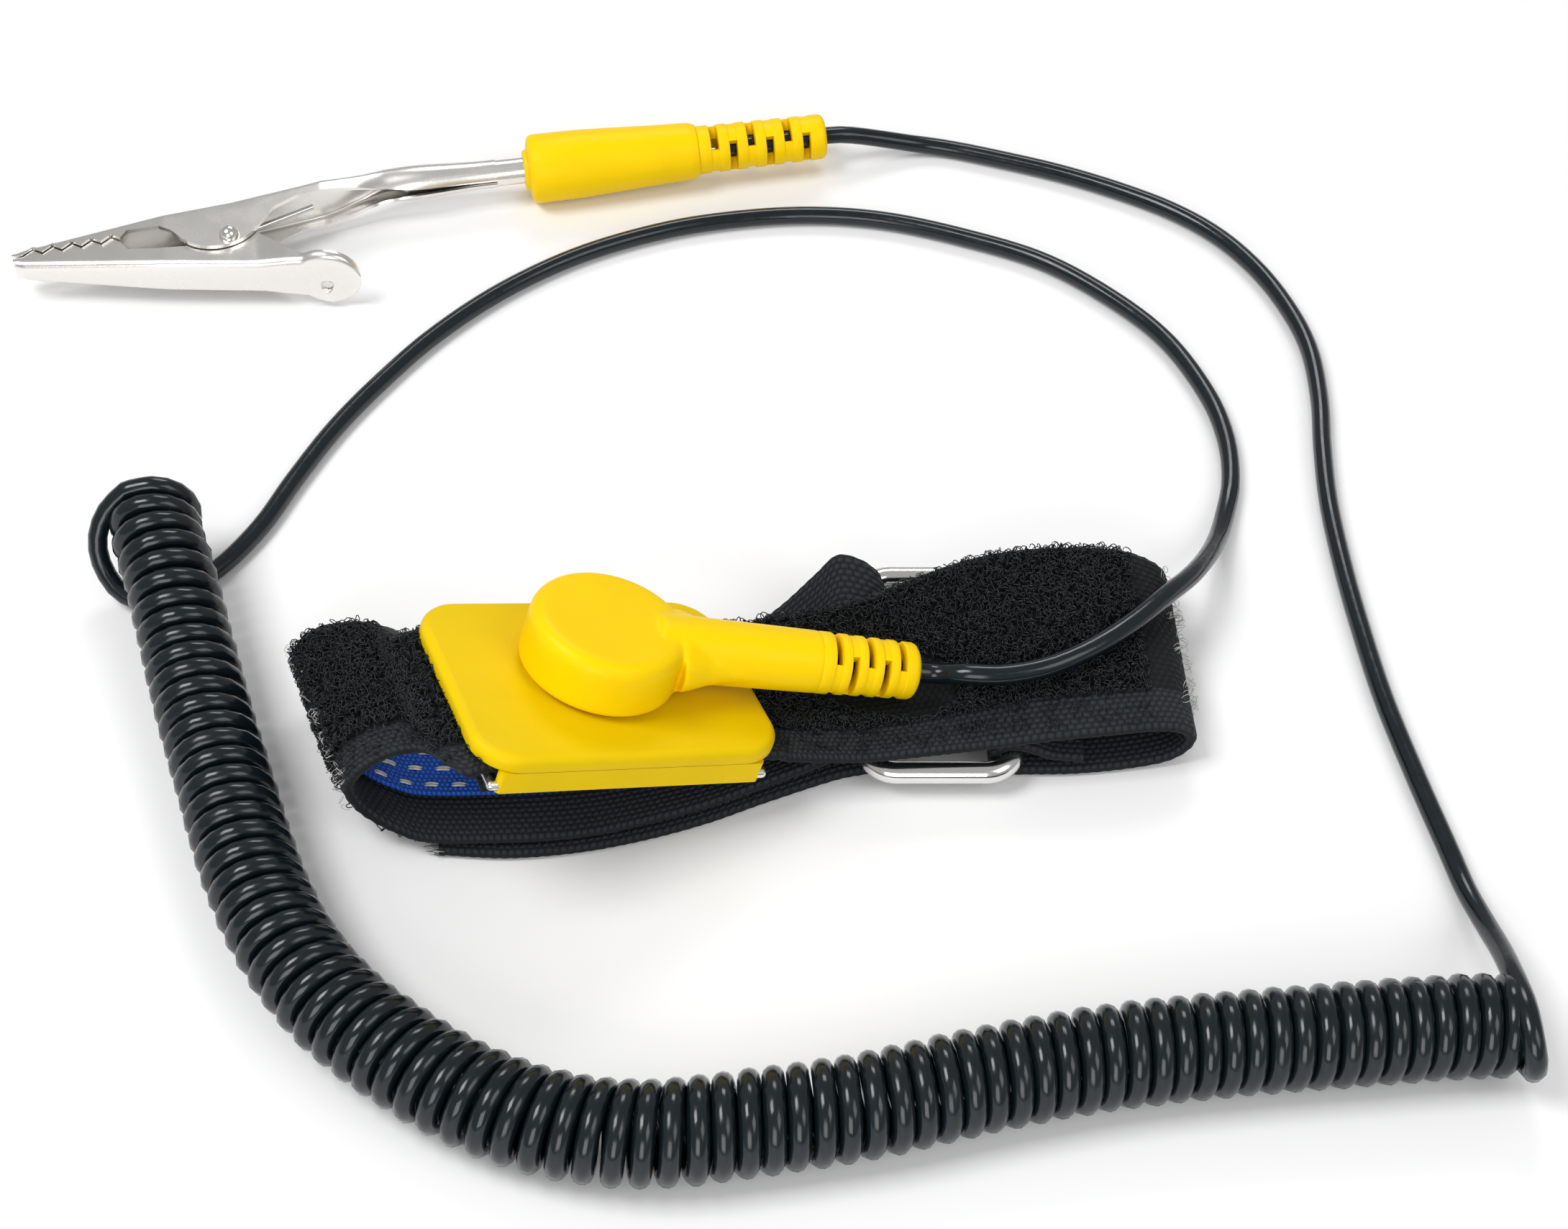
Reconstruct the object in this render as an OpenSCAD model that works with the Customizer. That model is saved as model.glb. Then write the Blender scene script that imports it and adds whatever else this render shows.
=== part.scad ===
// Antistatic wrist strap with a coiled earth lead and a crocodile clip.
// Millimetres. X runs along the strap, Y away from the front, Z up; Z = 0 is the table.

/* [Strap] */
// Width of the webbing
strap_w = 22; // [16:0.5:24]
// Thickness of the webbing
strap_t = 1.2; // [0.8:0.1:1.3]
// Thickness of the conductive lining
liner_t = 0.6; // [0.4:0.1:0.7]
// Part of the strap's width that the lining leaves bare on each side
liner_margin = 0.23; // [0.1:0.01:0.35]
// Thickness of the hook patch on the free end
hook_t = 0.3; // [0.2:0.05:0.3]

/* [Buckle] */
// Length of the buckle cover along the strap
cover_l = 32; // [30:0.5:33]
// Width of the buckle cover across the strap
cover_w = 23.2; // [23:0.1:25]
// Thickness of the buckle cover
cover_t = 1.8; // [1.5:0.1:1.8]
// Height of the buckle base below the cover
base_t = 2.4; // [2.2:0.1:2.4]
// Diameter of the strap bars
bar_d = 1; // [0.8:0.05:1]

/* [Slide ring] */
// Outside length of the ring along the strap
ring_l = 17; // [15:0.5:17]
// Outside width of the ring across the strap
ring_w = 28; // [27.6:0.1:28]
// Diameter of the ring's wire
ring_d = 2.3; // [1.8:0.1:2.4]

/* [Snap connector] */
// Diameter of the round head
head_d = 15.8; // [15:0.1:17]
// Height of the round head
head_h = 6; // [5.5:0.1:7]
// Distance from the stud to the end of the strain relief
arm_l = 31.6; // [30:0.2:33]
// Turn of the arm from the strap's direction
arm_turn = -14; // [-16:1:-8]

/* [Cord] */
// Diameter of the cord
cord_d = 2.1; // [1.8:0.1:2.1]
// Outside diameter of the coil
coil_d = 9.8; // [9:0.1:9.8]

/* [Clip and plug] */
// Outside diameter of the plug handle at its front
handle_d = 8.4; // [7:0.2:8.4]
// Thickness of the clip's sheet metal
sheet_t = 0.5; // [0.4:0.05:0.5]
// Diameter of the clip's pivot rivet
rivet_d = 2; // [1.6:0.1:2]

/* [Hidden] */
$fn = 48;
eps = 0.01;
yellow = "#f0c810";
metal = "#c9c8c4";
black = "#20262a";

// Middle of the wrist strap on the table, which becomes the origin
middle = [-4.33, -16.36, 0];

// The buckle's place and tilt, and its own axes in the row's frame
buckle_at = [-17.7, -19.9, 14.6];
buckle_tilt = [-6.5, 22, 20.5];
ta = buckle_tilt[0];
tb = buckle_tilt[1];
tc = buckle_tilt[2];
bx = [cos(tc) * cos(tb), sin(tc) * cos(tb), -sin(tb)];
by = [cos(tc) * sin(tb) * sin(ta) - sin(tc) * cos(ta),
      sin(tc) * sin(tb) * sin(ta) + cos(tc) * cos(ta), cos(tb) * sin(ta)];
bz = cross(bx, by);
stud_at = [-0.4, 0.8, 0];
base_z = -cover_t - base_t;
bar_z = -3.6;
bar_left_x = -14.2;
bar_right_x = 14.2;
arm_z = 3.85;
arm_pitch = 3.5;
relief_l = 10;

// The clip's place: its X runs from the barrel to the tip, its Y to the front
clip_at = [-35.3, 67.1, 4.2];
clip_turn = 190;
rivet_at = [32.2, 9.2];
handle_l = 37.5;
handle_relief = 16;

// ---- Curves shared by the soft parts ----

function unit(v) = v / norm(v);
function spline(a, b, c, d, t) =
    0.5 * (2 * b + (c - a) * t + (2 * a - 5 * b + 4 * c - d) * t * t + (3 * b - a - 3 * c + d) * t * t * t);
// A smooth line through the points p, with n steps between each two
function smooth(p, n) = let (m = len(p) - 1)
    concat([for (i = [0:m - 1]) for (k = [0:n - 1])
        spline(p[max(i - 1, 0)], p[i], p[i + 1], p[min(i + 2, m)], k / n)], [p[m]]);
function along(p, i) = unit(p[min(i + 1, len(p) - 1)] - p[max(i - 1, 0)]);
function part_of(p, a, b = 1e9) = [for (i = [a:min(b, len(p) - 1)]) p[i]];
// The middle line of a ribbon with the edge lines f and r, lowered by the dips [index, depth]
function middle_line(f, r, dips) = [for (i = [0:len(f) - 1]) (f[i] + r[i]) / 2 - [0, 0, lookup(i, dips)]];
function between(a, b, u) = [for (i = [0:len(a) - 1]) (1 - u) * a[i] + u * b[i]];
// The line at the share u of the width of the ribbon with the lines b = [front, middle, rear]
function line_at(b, u) = u < 0.5 ? between(b[0], b[1], 2 * u) : between(b[1], b[2], 2 * u - 1);
function in_buckle(x, y, z) = buckle_at + x * bx + y * by + z * bz;

// A ribbon through three lines, from height h0 to h1 above its middle on the wrist's side
module ribbon(lines, h0, h1) {
    n = len(lines[0]);
    function side_of(i, k) = unit(cross(along(lines[k], i), lines[min(k + 1, 2)][i] - lines[max(k - 1, 0)][i]));
    pts = [for (i = [0:n - 1]) each concat([for (k = [0:2]) lines[k][i] + h0 * side_of(i, k)],
                                           [for (k = [2:-1:0]) lines[k][i] + h1 * side_of(i, k)])];
    walls = [for (i = [0:n - 2]) for (k = [0:5]) let (a = 6 * i, j = (k + 1) % 6)
             each [[a + k, a + 6 + k, a + j], [a + j, a + 6 + k, a + 6 + j]]];
    e = 6 * (n - 1);
    cap = [[0, 1, 4], [0, 4, 5], [1, 2, 3], [1, 3, 4]];
    polyhedron(pts, concat(walls, cap, [for (c = cap) [e + c[0], e + c[2], e + c[1]]]));
}

// A round tube with s sides along the line p
module tube(p, d, s) {
    n = len(p);
    pts = [for (i = [0:n - 1]) let (t = along(p, i), a = unit(cross(t, [0, 0.02, 1])), b = cross(a, t))
           for (k = [0:s - 1]) p[i] + d / 2 * (cos(360 * k / s) * a + sin(360 * k / s) * b)];
    walls = [for (i = [0:n - 2]) for (k = [0:s - 1]) let (a = s * i, j = (k + 1) % s)
             each [[a + k, a + j, a + s + k], [a + j, a + s + j, a + s + k]]];
    polyhedron(pts, concat(walls, [[for (k = [s - 1:-1:0]) k], [for (k = [0:s - 1]) s * (n - 1) + k]]));
}

module placed() translate(-middle) children();
module on_buckle() placed() translate(buckle_at) rotate(buckle_tilt) children();
module on_clip() placed() translate(clip_at) rotate([0, 0, clip_turn]) children();
module on_stud() on_buckle() translate(stud_at) children();
module on_arm() on_stud() rotate([0, 0, arm_turn]) children();
// The arm rises a little from the buckle's plane
module on_pitch() on_arm() translate([4, 0, arm_z]) rotate([0, -arm_pitch, 0]) children();

// ---- Routes, in the row's frame before the origin is set ----

// The strap's wrap round a buckle bar at x: side is 1 where the strap comes from the right.
// It starts at the sewn tail below the bar and ends above it.
function wrap(x, side, y, turn) = [for (p = [[-5, -0.6], [-2.4, -0.9], [-0.5, -1.3], [0.95, -0.95],
                                             [1.3, 0], [0.9, 0.9], [-0.5, 1.15], [-2.4, 1.15]])
    in_buckle(x + side * (p[0] * cos(turn) + p[1] * sin(turn)), y, bar_z + p[1] * cos(turn) - p[0] * sin(turn))];
half = strap_w / 2 - 0.85;

left_front = concat(wrap(bar_left_x, 1, -half, -12), [
    [-33.3, -31.2, 17.2], [-36.3, -30.5, 16], [-38.6, -30.2, 14.2], [-40.6, -30, 11.8], [-41.8, -29.6, 9],
    [-41.4, -29.4, 6.2], [-40, -29.6, 4.2], [-37.5, -30.4, 3], [-34.6, -31, 2.4], [-27.5, -31, 2.4],
    [-20, -30.4, 2.4], [-13.5, -28.8, 2.4], [-7.5, -26.8, 2.4], [-2, -24.6, 2.75], [3.4, -22.6, 3.4],
    [6.4, -21.7, 4.4], [8.4, -21.4, 4.6], [10, -21.4, 4], [10.4, -21.4, 2.75], [9.8, -21.4, 1.35],
    [8.3, -21.4, 0.66], [5, -22.2, 0.62], [-2, -25, 0.62], [-7.5, -27.4, 0.62], [-13.5, -29.4, 0.62],
    [-20, -30.9, 0.62], [-27, -31.6, 0.62], [-33.9, -31.2, 0.62]]);
left_rear = concat(wrap(bar_left_x, 1, half, -12), [
    [-40.2, -11.8, 12.4], [-43.8, -10.4, 11], [-46.6, -9.8, 9.6], [-48.7, -9.6, 7.8], [-49.6, -9.6, 6],
    [-49, -9.6, 4.4], [-47.2, -9.4, 3.3], [-44.4, -9.2, 2.8], [-40, -9.4, 2.4], [-29.5, -9.1, 2.4],
    [-20.5, -8.4, 2.4], [-11.5, -7.4, 2.4], [-5.4, -6, 3.1], [-0.6, -3.6, 5.2], [3.2, -0.8, 7.3],
    [5.4, 1, 8.3], [7.6, 0.8, 8.1], [9.5, 0.5, 6.4], [10.3, 0.2, 3.4], [9.9, 0.2, 1.45],
    [8.3, 0.2, 0.66], [4.5, -0.6, 0.62], [0.5, -4.6, 0.62], [-5, -6.6, 0.62], [-11.5, -8, 0.62],
    [-19, -9.2, 0.62], [-27, -9.6, 0.62], [-35.5, -9.3, 0.62]]);
left_mid = middle_line(left_front, left_rear, [[19, 0], [20, 0.35], [21, 1.3], [22, 2], [23, 1.8],
    [24, 1.7], [25, 1], [26, 0.3], [27, 0]]);
left_lines = [smooth(left_front, 2), smooth(left_mid, 2), smooth(left_rear, 2)];

right_front = concat(part_of(wrap(bar_right_x, -1, -half, 0), 2), [in_buckle(17.8, -half, -2.8),
    [7.6, -23.8, 5.85], [14.5, -23, 5.9], [20, -22.3, 5.9], [26.2, -21.6, 6.3], [32.9, -20.9, 6.5],
    [37.2, -20.3, 6.3], [39.8, -19.9, 5.4], [40.9, -19.7, 3.8], [40.2, -19.8, 2], [38.2, -20.2, 1],
    [34, -20.8, 0.62], [29.5, -21.3, 0.62], [25.5, -21.4, 0.62], [23, -21.4, 0.66], [21.5, -21.4, 1.35],
    [21, -21.4, 2.75], [21.6, -21.4, 4.1], [23, -21.4, 4.6], [24.8, -21.4, 4.1], [27, -21.3, 2.9],
    [30, -21.2, 2.4]]);
right_rear = concat(part_of(wrap(bar_right_x, -1, half, 0), 2), [in_buckle(17.8, half, -2.8),
    [6, -5.5, 8], [13, -2.4, 8.4], [19.6, -0.2, 9.2], [25.6, 1.2, 9], [31.4, 1.9, 8.4],
    [35.8, 2.2, 7.4], [38.8, 2, 5.8], [39.9, 1.8, 4], [39.3, 1.7, 2], [37.4, 1.6, 1],
    [34, 1.2, 0.62], [29.5, 0.6, 0.62], [25.5, 0.4, 0.62], [23, 0.4, 0.66], [21.5, 0.4, 1.35],
    [21, 0.4, 2.75], [21.6, 0.4, 4.1], [23, 0.4, 4.6], [24.8, 0.4, 4.1], [27, 0.4, 2.9],
    [30, 0.5, 2.4]]);
right_mid = middle_line(right_front, right_rear, [[6, 0], [7, 0.8], [8, 1.6], [9, 0.9], [10, 0.3], [11, 0]]);
right_lines = [smooth(right_front, 2), smooth(right_mid, 2), smooth(right_rear, 2)];

arm_far = 4 + (arm_l - 4) * cos(arm_pitch);
arm_end = in_buckle(stud_at[0] + arm_far * cos(arm_turn), stud_at[1] + arm_far * sin(arm_turn),
                    arm_z + (arm_l - 4) * sin(arm_pitch));
arm_dir = cos(arm_pitch) * (bx * cos(arm_turn) + by * sin(arm_turn)) + sin(arm_pitch) * bz;
r0 = cord_d / 2;

snap_route = [arm_end + 0.4 * arm_dir, arm_end + 2.6 * arm_dir, [18, -16, 9.9], [22, -16, 9.8], [26.5, -15, 9.9],
    [31, -12.6, 9.9], [35.2, -9.2, 9.7], [38.9, -5.2, 9], [42.4, -0.6, 7], [45.1, 4.5, 4.4],
    [47, 9.2, 2.2], [48.4, 13.6, 1.2], [49.6, 18.5, r0], [49.8, 25, r0], [48.4, 32.2, r0],
    [44.6, 41, r0], [38.8, 48.2, r0], [31.1, 54.7, r0], [21.8, 59, r0], [12.5, 62, r0], [3.9, 63, r0],
    [-4.8, 62.4, r0], [-14.2, 60.3, r0], [-24.4, 55.9, r0], [-33.3, 49.6, r0], [-40.7, 42, r0],
    [-46.3, 34.2, r0], [-50.8, 26.6, r0], [-54.4, 18.6, r0], [-57, 12, r0], [-60.3, 6.4, r0],
    [-64, 2.6, r0], [-67.4, 0.8, r0], [-70.6, 1.6, 1.8], [-72.6, 4, 4.2], [-72.8, 6.6, 7],
    [-71.4, 8.8, 9.4], [-69, 9.8, 10.4], [-67.2, 9.8, 10.2]];
coil_r = coil_d / 2;
coil_route = [[-66.9, 8.3, coil_r + 2.5], [-66, 4.4, coil_r + 2.4], [-64, -0.6, coil_r + 1.9],
    [-60.8, -10, coil_r + 0.4], [-57.9, -18.2, coil_r], [-54.9, -26, coil_r], [-52, -33.6, coil_r],
    [-49.1, -40, coil_r], [-45.6, -45.8, coil_r], [-40.9, -51.3, coil_r], [-35, -56, coil_r],
    [-28.9, -59.8, coil_r], [-22.4, -62.5, coil_r], [-16, -63.8, coil_r], [-10.3, -63.9, coil_r],
    [-3.4, -63, coil_r], [7, -61.3, coil_r], [17.6, -58.7, coil_r], [28.3, -56.5, coil_r],
    [39.1, -55.1, coil_r], [49.9, -54.1, coil_r], [60.8, -53.2, coil_r], [65.3, -53, coil_r]];
clip_route = [[5.2, 74.3, 4.2], [7.7, 74.7, 4], [11, 75.4, 3], [16, 76, 1.6], [20.1, 75.8, r0],
    [26, 74, r0], [34.3, 71, r0], [42, 67.3, r0], [48.2, 63.4, r0], [53.2, 58.6, r0], [57.2, 52.3, r0],
    [59.9, 45.3, r0], [61.2, 38.8, r0], [61.2, 31, r0], [60.5, 23.8, r0], [60, 15.3, r0], [60.2, 6.2, r0],
    [60.8, -2.6, r0], [61.8, -12.3, r0], [63.5, -22.3, r0], [65.2, -31, r0], [66, -35.6, 1.2],
    [66.7, -40.4, 2.6], [66.9, -45, 5], [66.7, -49.2, 7.4], [66.7, -53.2, 8.9], [66.8, -56.4, 8.6],
    [67.3, -58, 6.6], [67.7, -57.4, 4.2], [67.3, -55, 2.3], [66.6, -52, 1.8]];

// ---- Outlines ----

// A rectangle w by l with corners of radius r
module rounded(w, l, r) {
    square([w - 2 * r, l], center = true);
    square([w, l - 2 * r], center = true);
    for (x = [-1, 1], y = [-1, 1]) translate([x * (w / 2 - r), y * (l / 2 - r)]) circle(r);
}

// A slab from z = 0 up to h, with a round edge of radius e at its top
module edge_profile(w, h, e) {
    translate([0, h / 2]) square([w - 2 * e, h], center = true);
    translate([0, (h - e) / 2]) square([w, h - e], center = true);
    for (x = [-1, 1]) translate([x * (w / 2 - e), h - e]) circle(e);
}
module soft_slab(w, l, h, r, e) intersection() {
    linear_extrude(h) rounded(w, l, r);
    rotate([90, 0, 0]) linear_extrude(l + 2, center = true) edge_profile(w, h, e);
    rotate([90, 0, 90]) linear_extrude(w + 2, center = true) edge_profile(l, h, e);
}

// A quarter round from angle a0 to a1 for an outline
function arc(x, y, r, a0, a1) = [for (k = [0:6]) [x + r * cos(a0 + (a1 - a0) * k / 6),
                                                  y + r * sin(a0 + (a1 - a0) * k / 6)]];

// A strain relief along +X from x = 0: staggered windows leave two bridges at each gap
module relief(l, r_in, r_out, gaps) {
    step = l / (gaps + 1);
    core = cord_d / 2 + 0.25;
    difference() {
        union() {
            rotate([0, 90, 0]) cylinder(r1 = r_in, r2 = r_out, h = l - 0.6);
            translate([l - 0.6, 0, 0]) rotate([0, 90, 0]) cylinder(r1 = r_out, r2 = r_out - 0.5, h = 0.6);
        }
        for (i = [1:gaps]) translate([i * step - 0.25, 0, 0]) difference() {
            cube([step * 0.42, 2 * r_in + 1, 2 * r_in + 1], center = true);
            if (i % 2 == 0) cube([step, 2 * core + 0.4, 2 * r_in + 2], center = true);
            else cube([step, 2 * r_in + 2, 2 * core + 0.4], center = true);
            rotate([0, 90, 0]) cylinder(r = core, h = step, center = true);
        }
    }
}

// ---- Wrist strap ----

module buckle_cover() color(yellow) on_buckle() difference() {
    translate([0, 0, -cover_t]) soft_slab(cover_l, cover_w, cover_t, 4.4, 0.9);
    translate([stud_at[0], stud_at[1], -cover_t - 1]) cylinder(r = 1.15, h = cover_t + 2);
}

module buckle_base() color(yellow) on_buckle() translate([0, 0, base_z]) difference() {
    union() {
        // Block between the two strap slots
        linear_extrude(base_t) square([23.8, cover_w - 0.2], center = true);
        // Cheeks past the ends of the strap bars
        for (y = [-1, 1]) translate([0, y * (cover_w / 2 - 0.7), 0])
            linear_extrude(base_t) rounded(27.6, 1.2, 0.5);
    }
    translate([stud_at[0], stud_at[1], -1]) cylinder(r = 1.15, h = base_t + 2);
    // Pockets for the bars' feet
    for (x = [bar_left_x, bar_right_x - 4], y = [-1, 1])
        translate([x, y * (cover_w / 2 - 0.7), bar_z - base_z]) rotate([0, 90, 0])
            cylinder(d = bar_d + 0.04, h = 4);
}

module contact_plate() color(metal) on_buckle() translate([0, 0, base_z - 0.4]) difference() {
    linear_extrude(0.4) rounded(21.5, 18, 2);
    translate([stud_at[0], stud_at[1], -1]) cylinder(r = 1.15, h = 3);
}

module snap_stud() color(metal) on_stud() rotate_extrude()
    polygon([[1.15, 0], [3.3, 0], [3.3, 0.3], [3, 0.45], [1.5, 0.45], [1.5, 1.45], [1.75, 1.6], [1.95, 1.9],
             [1.95, 2.3], [1.8, 2.6], [1.4, 2.75], [0, 2.75], [0, 1.6], [1.15, 1.6]]);

module stud_rivet() color(metal) on_stud() rotate_extrude()
    polygon([[0, base_z - 0.75], [1.7, base_z - 0.75], [2, base_z - 0.6], [2, base_z - 0.4],
             [1.1, base_z - 0.4], [1.1, 1.5], [0, 1.5]]);

// Each bar is a staple whose feet run into the base
module staple(side) {
    w = cover_w / 2 - 0.7;
    rotate([90, 0, 0]) cylinder(d = bar_d, h = 2 * w, center = true);
    for (y = [-1, 1]) translate([0, y * w, 0]) {
        sphere(d = bar_d);
        rotate([0, side * 90, 0]) cylinder(d = bar_d, h = 3.9);
    }
}

module bar_left() color(metal) on_buckle() translate([bar_left_x, 0, bar_z]) staple(1);
module bar_right() color(metal) on_buckle() translate([bar_right_x, 0, bar_z]) staple(-1);

module left_band() color(black) placed() ribbon(left_lines, -strap_t / 2, strap_t / 2);

// The lining runs inside the band, from beside the buckle to the slide ring
liner_from = 19;
liner_to = 40;
module liner() color("#1f4fa8") placed() {
    h = strap_t / 2 + 0.1;
    cut = [for (b = left_lines) part_of(b, liner_from, liner_to)];
    ribbon([line_at(cut, liner_margin), cut[1], line_at(cut, 1 - liner_margin)], h, h + liner_t);
}

// The hooks lie between the free end and the run above it
hook_from = 62;
hook_to = 69;
module hook_patch() color("#15191b") placed() {
    h = -strap_t / 2 - 0.05;
    cut = [for (b = left_lines) part_of(b, hook_from, hook_to)];
    ribbon([line_at(cut, 0.06), cut[1], line_at(cut, 0.94)], h - hook_t, h);
}

module right_band() color(black) placed() ribbon(right_lines, -strap_t / 2, strap_t / 2);

module slide_ring() color(metal) placed() translate([15.7, -10, 2.75]) {
    r = 2.9;
    w = ring_l / 2 - ring_d / 2;
    l = ring_w / 2 - ring_d / 2;
    for (x = [-1, 1]) translate([x * w, 0, 0]) rotate([90, 0, 0])
        cylinder(d = ring_d, h = 2 * (l - r), center = true);
    for (y = [-1, 1]) translate([0, y * l, 0]) rotate([0, 90, 0])
        cylinder(d = ring_d, h = 2 * (w - r), center = true);
    for (q = [[1, 1, 0], [-1, 1, 90], [-1, -1, 180], [1, -1, 270]])
        translate([q[0] * (w - r), q[1] * (l - r), 0]) rotate([0, 0, q[2]])
            rotate_extrude(angle = 90) translate([r, 0]) circle(d = ring_d);
}

// ---- Snap connector ----

module snap_housing() color(yellow) difference() {
    union() {
        r = head_d / 2;
        z1 = 0.5 + head_h;
        on_arm() rotate_extrude() polygon(concat([[0, 0.5], [r - 0.6, 0.5]], arc(r - 0.5, 1.1, 0.5, -60, 0),
                                                 arc(r - 1.6, z1 - 1.5, 1.5, 0, 90), [[0, z1]]));
        on_pitch() translate([1, 0, 0]) rotate([0, 90, 0])
            cylinder(r1 = 3.3, r2 = 3.1, h = arm_l - relief_l - 5);
        on_pitch() translate([arm_l - relief_l - 4, 0, 0]) relief(relief_l, 3.1, 2.85, 5);
    }
    // Pocket for the metal socket
    on_arm() translate([0, 0, -1]) cylinder(r = 4.1, h = 1 + 3.4);
    // Pockets for the resistor and its wires
    on_pitch() translate([5.4, 0, 0]) rotate([0, 90, 0]) cylinder(r = 1.2, h = 6.2);
    on_pitch() translate([0.4, 0, 0]) rotate([0, 90, 0]) cylinder(r = 0.32, h = 14.8);
}

module snap_socket() color(metal) on_stud() rotate_extrude()
    polygon([[3.65, 0.15], [6.8, 0.15], [6.8, 0.45], [4, 0.45], [4, 3.3], [0, 3.3], [0, 3], [3.65, 3]]);

module socket_spring() color(metal) on_stud() translate([0, 0, 1.15])
    rotate_extrude(angle = 335) translate([2.25, 0]) circle(d = 0.44);

module resistor() color("#c8a878") on_pitch() translate([5.5, 0, 0]) rotate([0, 90, 0])
    cylinder(r = 1.15, h = 6);

module resistor_wires() color(metal) on_pitch() rotate([0, 90, 0])
    for (x = [0.8, 11.5]) translate([0, 0, x]) cylinder(r = 0.3, h = x < 9 ? 4.7 : 3.4);

// ---- Cord ----

module snap_lead() color(black) placed() tube(snap_route, cord_d, 8);
module coil() color(black) placed() tube(coil_route, coil_d, 12);
module clip_lead() color(black) placed() tube(clip_route, cord_d, 8);

// ---- Plug ----

module plug_handle() color(yellow) on_clip() translate([-3.4, 0, 0]) rotate([0, 0, 180]) difference() {
    body = handle_l - handle_relief;
    union() {
        rotate([0, 90, 0]) rotate_extrude()
            polygon(concat([[0, 0], [2.2, 0], [2.4, 0.5]], [[handle_d / 2 - 0.6, 0.6]],
                           arc(handle_d / 2 - 0.6, 1.2, 0.6, -60, 0),
                           [[handle_d / 2 - 0.05, 7], [3.45, body - 1], [3.2, body], [0, body]]));
        translate([body, 0, 0]) relief(handle_relief, 2.95, 2.75, 6);
    }
    translate([-1, 0, 0]) rotate([0, 90, 0]) cylinder(r = 1.62, h = 4);
    rotate([0, 90, 0]) cylinder(r = 1.25, h = 13);
}

module plug_pin() color(metal) on_clip() rotate([0, 90, 0]) {
    translate([0, 0, -3.6]) cylinder(r = 1.6, h = 3.6);
    translate([0, 0, -15]) cylinder(r = 1.2, h = 12);
    translate([0, 0, -eps]) cylinder(r = 1.34, h = 11);
    translate([0, 0, 11 - 2 * eps]) cylinder(r1 = 1.34, r2 = 0.7, h = 1.2);
}

// ---- Clip ----

teeth = 5;
tooth_l = 2.3;
tooth_h = 0.9;
// Half width of a jaw at its tip, from the pivot to the tail, and at the barrel
module wedge(tip, mid, tail, inset) translate([0, 30, 0]) rotate([90, 0, 0]) linear_extrude(60)
    polygon([[10, -tail + inset], [14, -tail + inset], [21, -mid + inset], [40, -mid + inset],
             [58.5, -tip + inset], [58.5, tip - inset], [40, mid - inset], [21, mid - inset],
             [14, tail - inset], [10, tail - inset]]);

// Zigzag of the teeth from the tip backwards; y0 is the crest line
function zigzag(y0) = [for (k = [0:teeth - 1]) each [[56.5 - tooth_l * k, y0],
                                                     [56.5 - tooth_l * (k + 0.5), y0 - tooth_h]]];

module upper_jaw() color(metal) on_clip() difference() {
    union() {
        difference() {
            intersection() {
                linear_extrude(8, center = true)
                    polygon(concat([[13.5, -1.2], [16, 0], [32, 3], [56.5, 5.8], [57.8, 6.5], [57.2, 7]],
                                   zigzag(7), [[45, 7], [44.2, 5.9], [40.4, 6.2], [39, 8.3]],
                                   arc(33.6, 5.5, 5.4, 28, 142), [[26.9, 5], [24, 3.4], [13.5, 1.4]]));
                wedge(1.5, 3, 1.75, 0);
            }
            intersection() {
                linear_extrude(9, center = true)
                    polygon([[12, -1], [13.5, -0.8], [16, 0.5], [32, 3.5], [56.5, 6.3], [60, 6.9],
                             [60, 20], [12, 20]]);
                wedge(1.5, 3, 1.75, sheet_t);
            }
        }
        rotate([0, 90, 0]) cylinder(r = 1.72, h = 14.2);
    }
    translate([0, 0, 0]) rotate([0, 90, 0]) translate([0, 0, -1]) cylinder(r = 1.4, h = 18);
    // Open seam of the rolled barrel
    translate([-1, 0, -0.35]) cube([20, 4, 0.7]);
    translate([rivet_at[0], rivet_at[1], 0]) cylinder(d = rivet_d + 0.1, h = 9, center = true);
}

module lower_jaw() color(metal) on_clip() difference() {
    union() {
        difference() {
            intersection() {
                linear_extrude(8, center = true)
                    polygon(concat([[24, 15.2], [41, 12], [56.5, 8.6], [57.6, 7.9], [57.2, 7.2]], zigzag(7.18),
                                   [[45, 7.2], [44.2, 8.6], [40.6, 9.3]],
                                   arc(rivet_at[0], rivet_at[1], 3.2, 10, -170), [[25.5, 12.6], [23, 14.2]]));
                wedge(1.4, 2.35, 2.35, 0);
            }
            intersection() {
                linear_extrude(9, center = true)
                    polygon([[10, 17.3], [24, 14.7], [41, 11.5], [56.5, 8.1], [60, 7.3], [60, -5], [10, -5]]);
                wedge(1.4, 2.35, 2.35, sheet_t);
            }
        }
        // Finger pad on the tail
        translate([21.4, 15.65, 0]) rotate([0, 0, -10.6]) rotate([90, 0, 0])
            cylinder(r = 3.9, h = sheet_t);
    }
    translate([21.6, 15.6, -0.9]) rotate([0, 0, -10.6]) rotate([90, 0, 0])
        cylinder(r = 0.7, h = 4, center = true);
    translate([rivet_at[0], rivet_at[1], 0]) cylinder(d = rivet_d + 0.1, h = 9, center = true);
}

module jaw_rivet() color(metal) on_clip() translate([rivet_at[0], rivet_at[1], 0]) {
    cylinder(d = rivet_d, h = 6.1, center = true);
    for (z = [-1, 1]) translate([0, 0, z * 3.02]) intersection() {
        sphere(r = 1.15);
        translate([0, 0, z * 1]) cube([4, 4, 2], center = true);
    }
}

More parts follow.
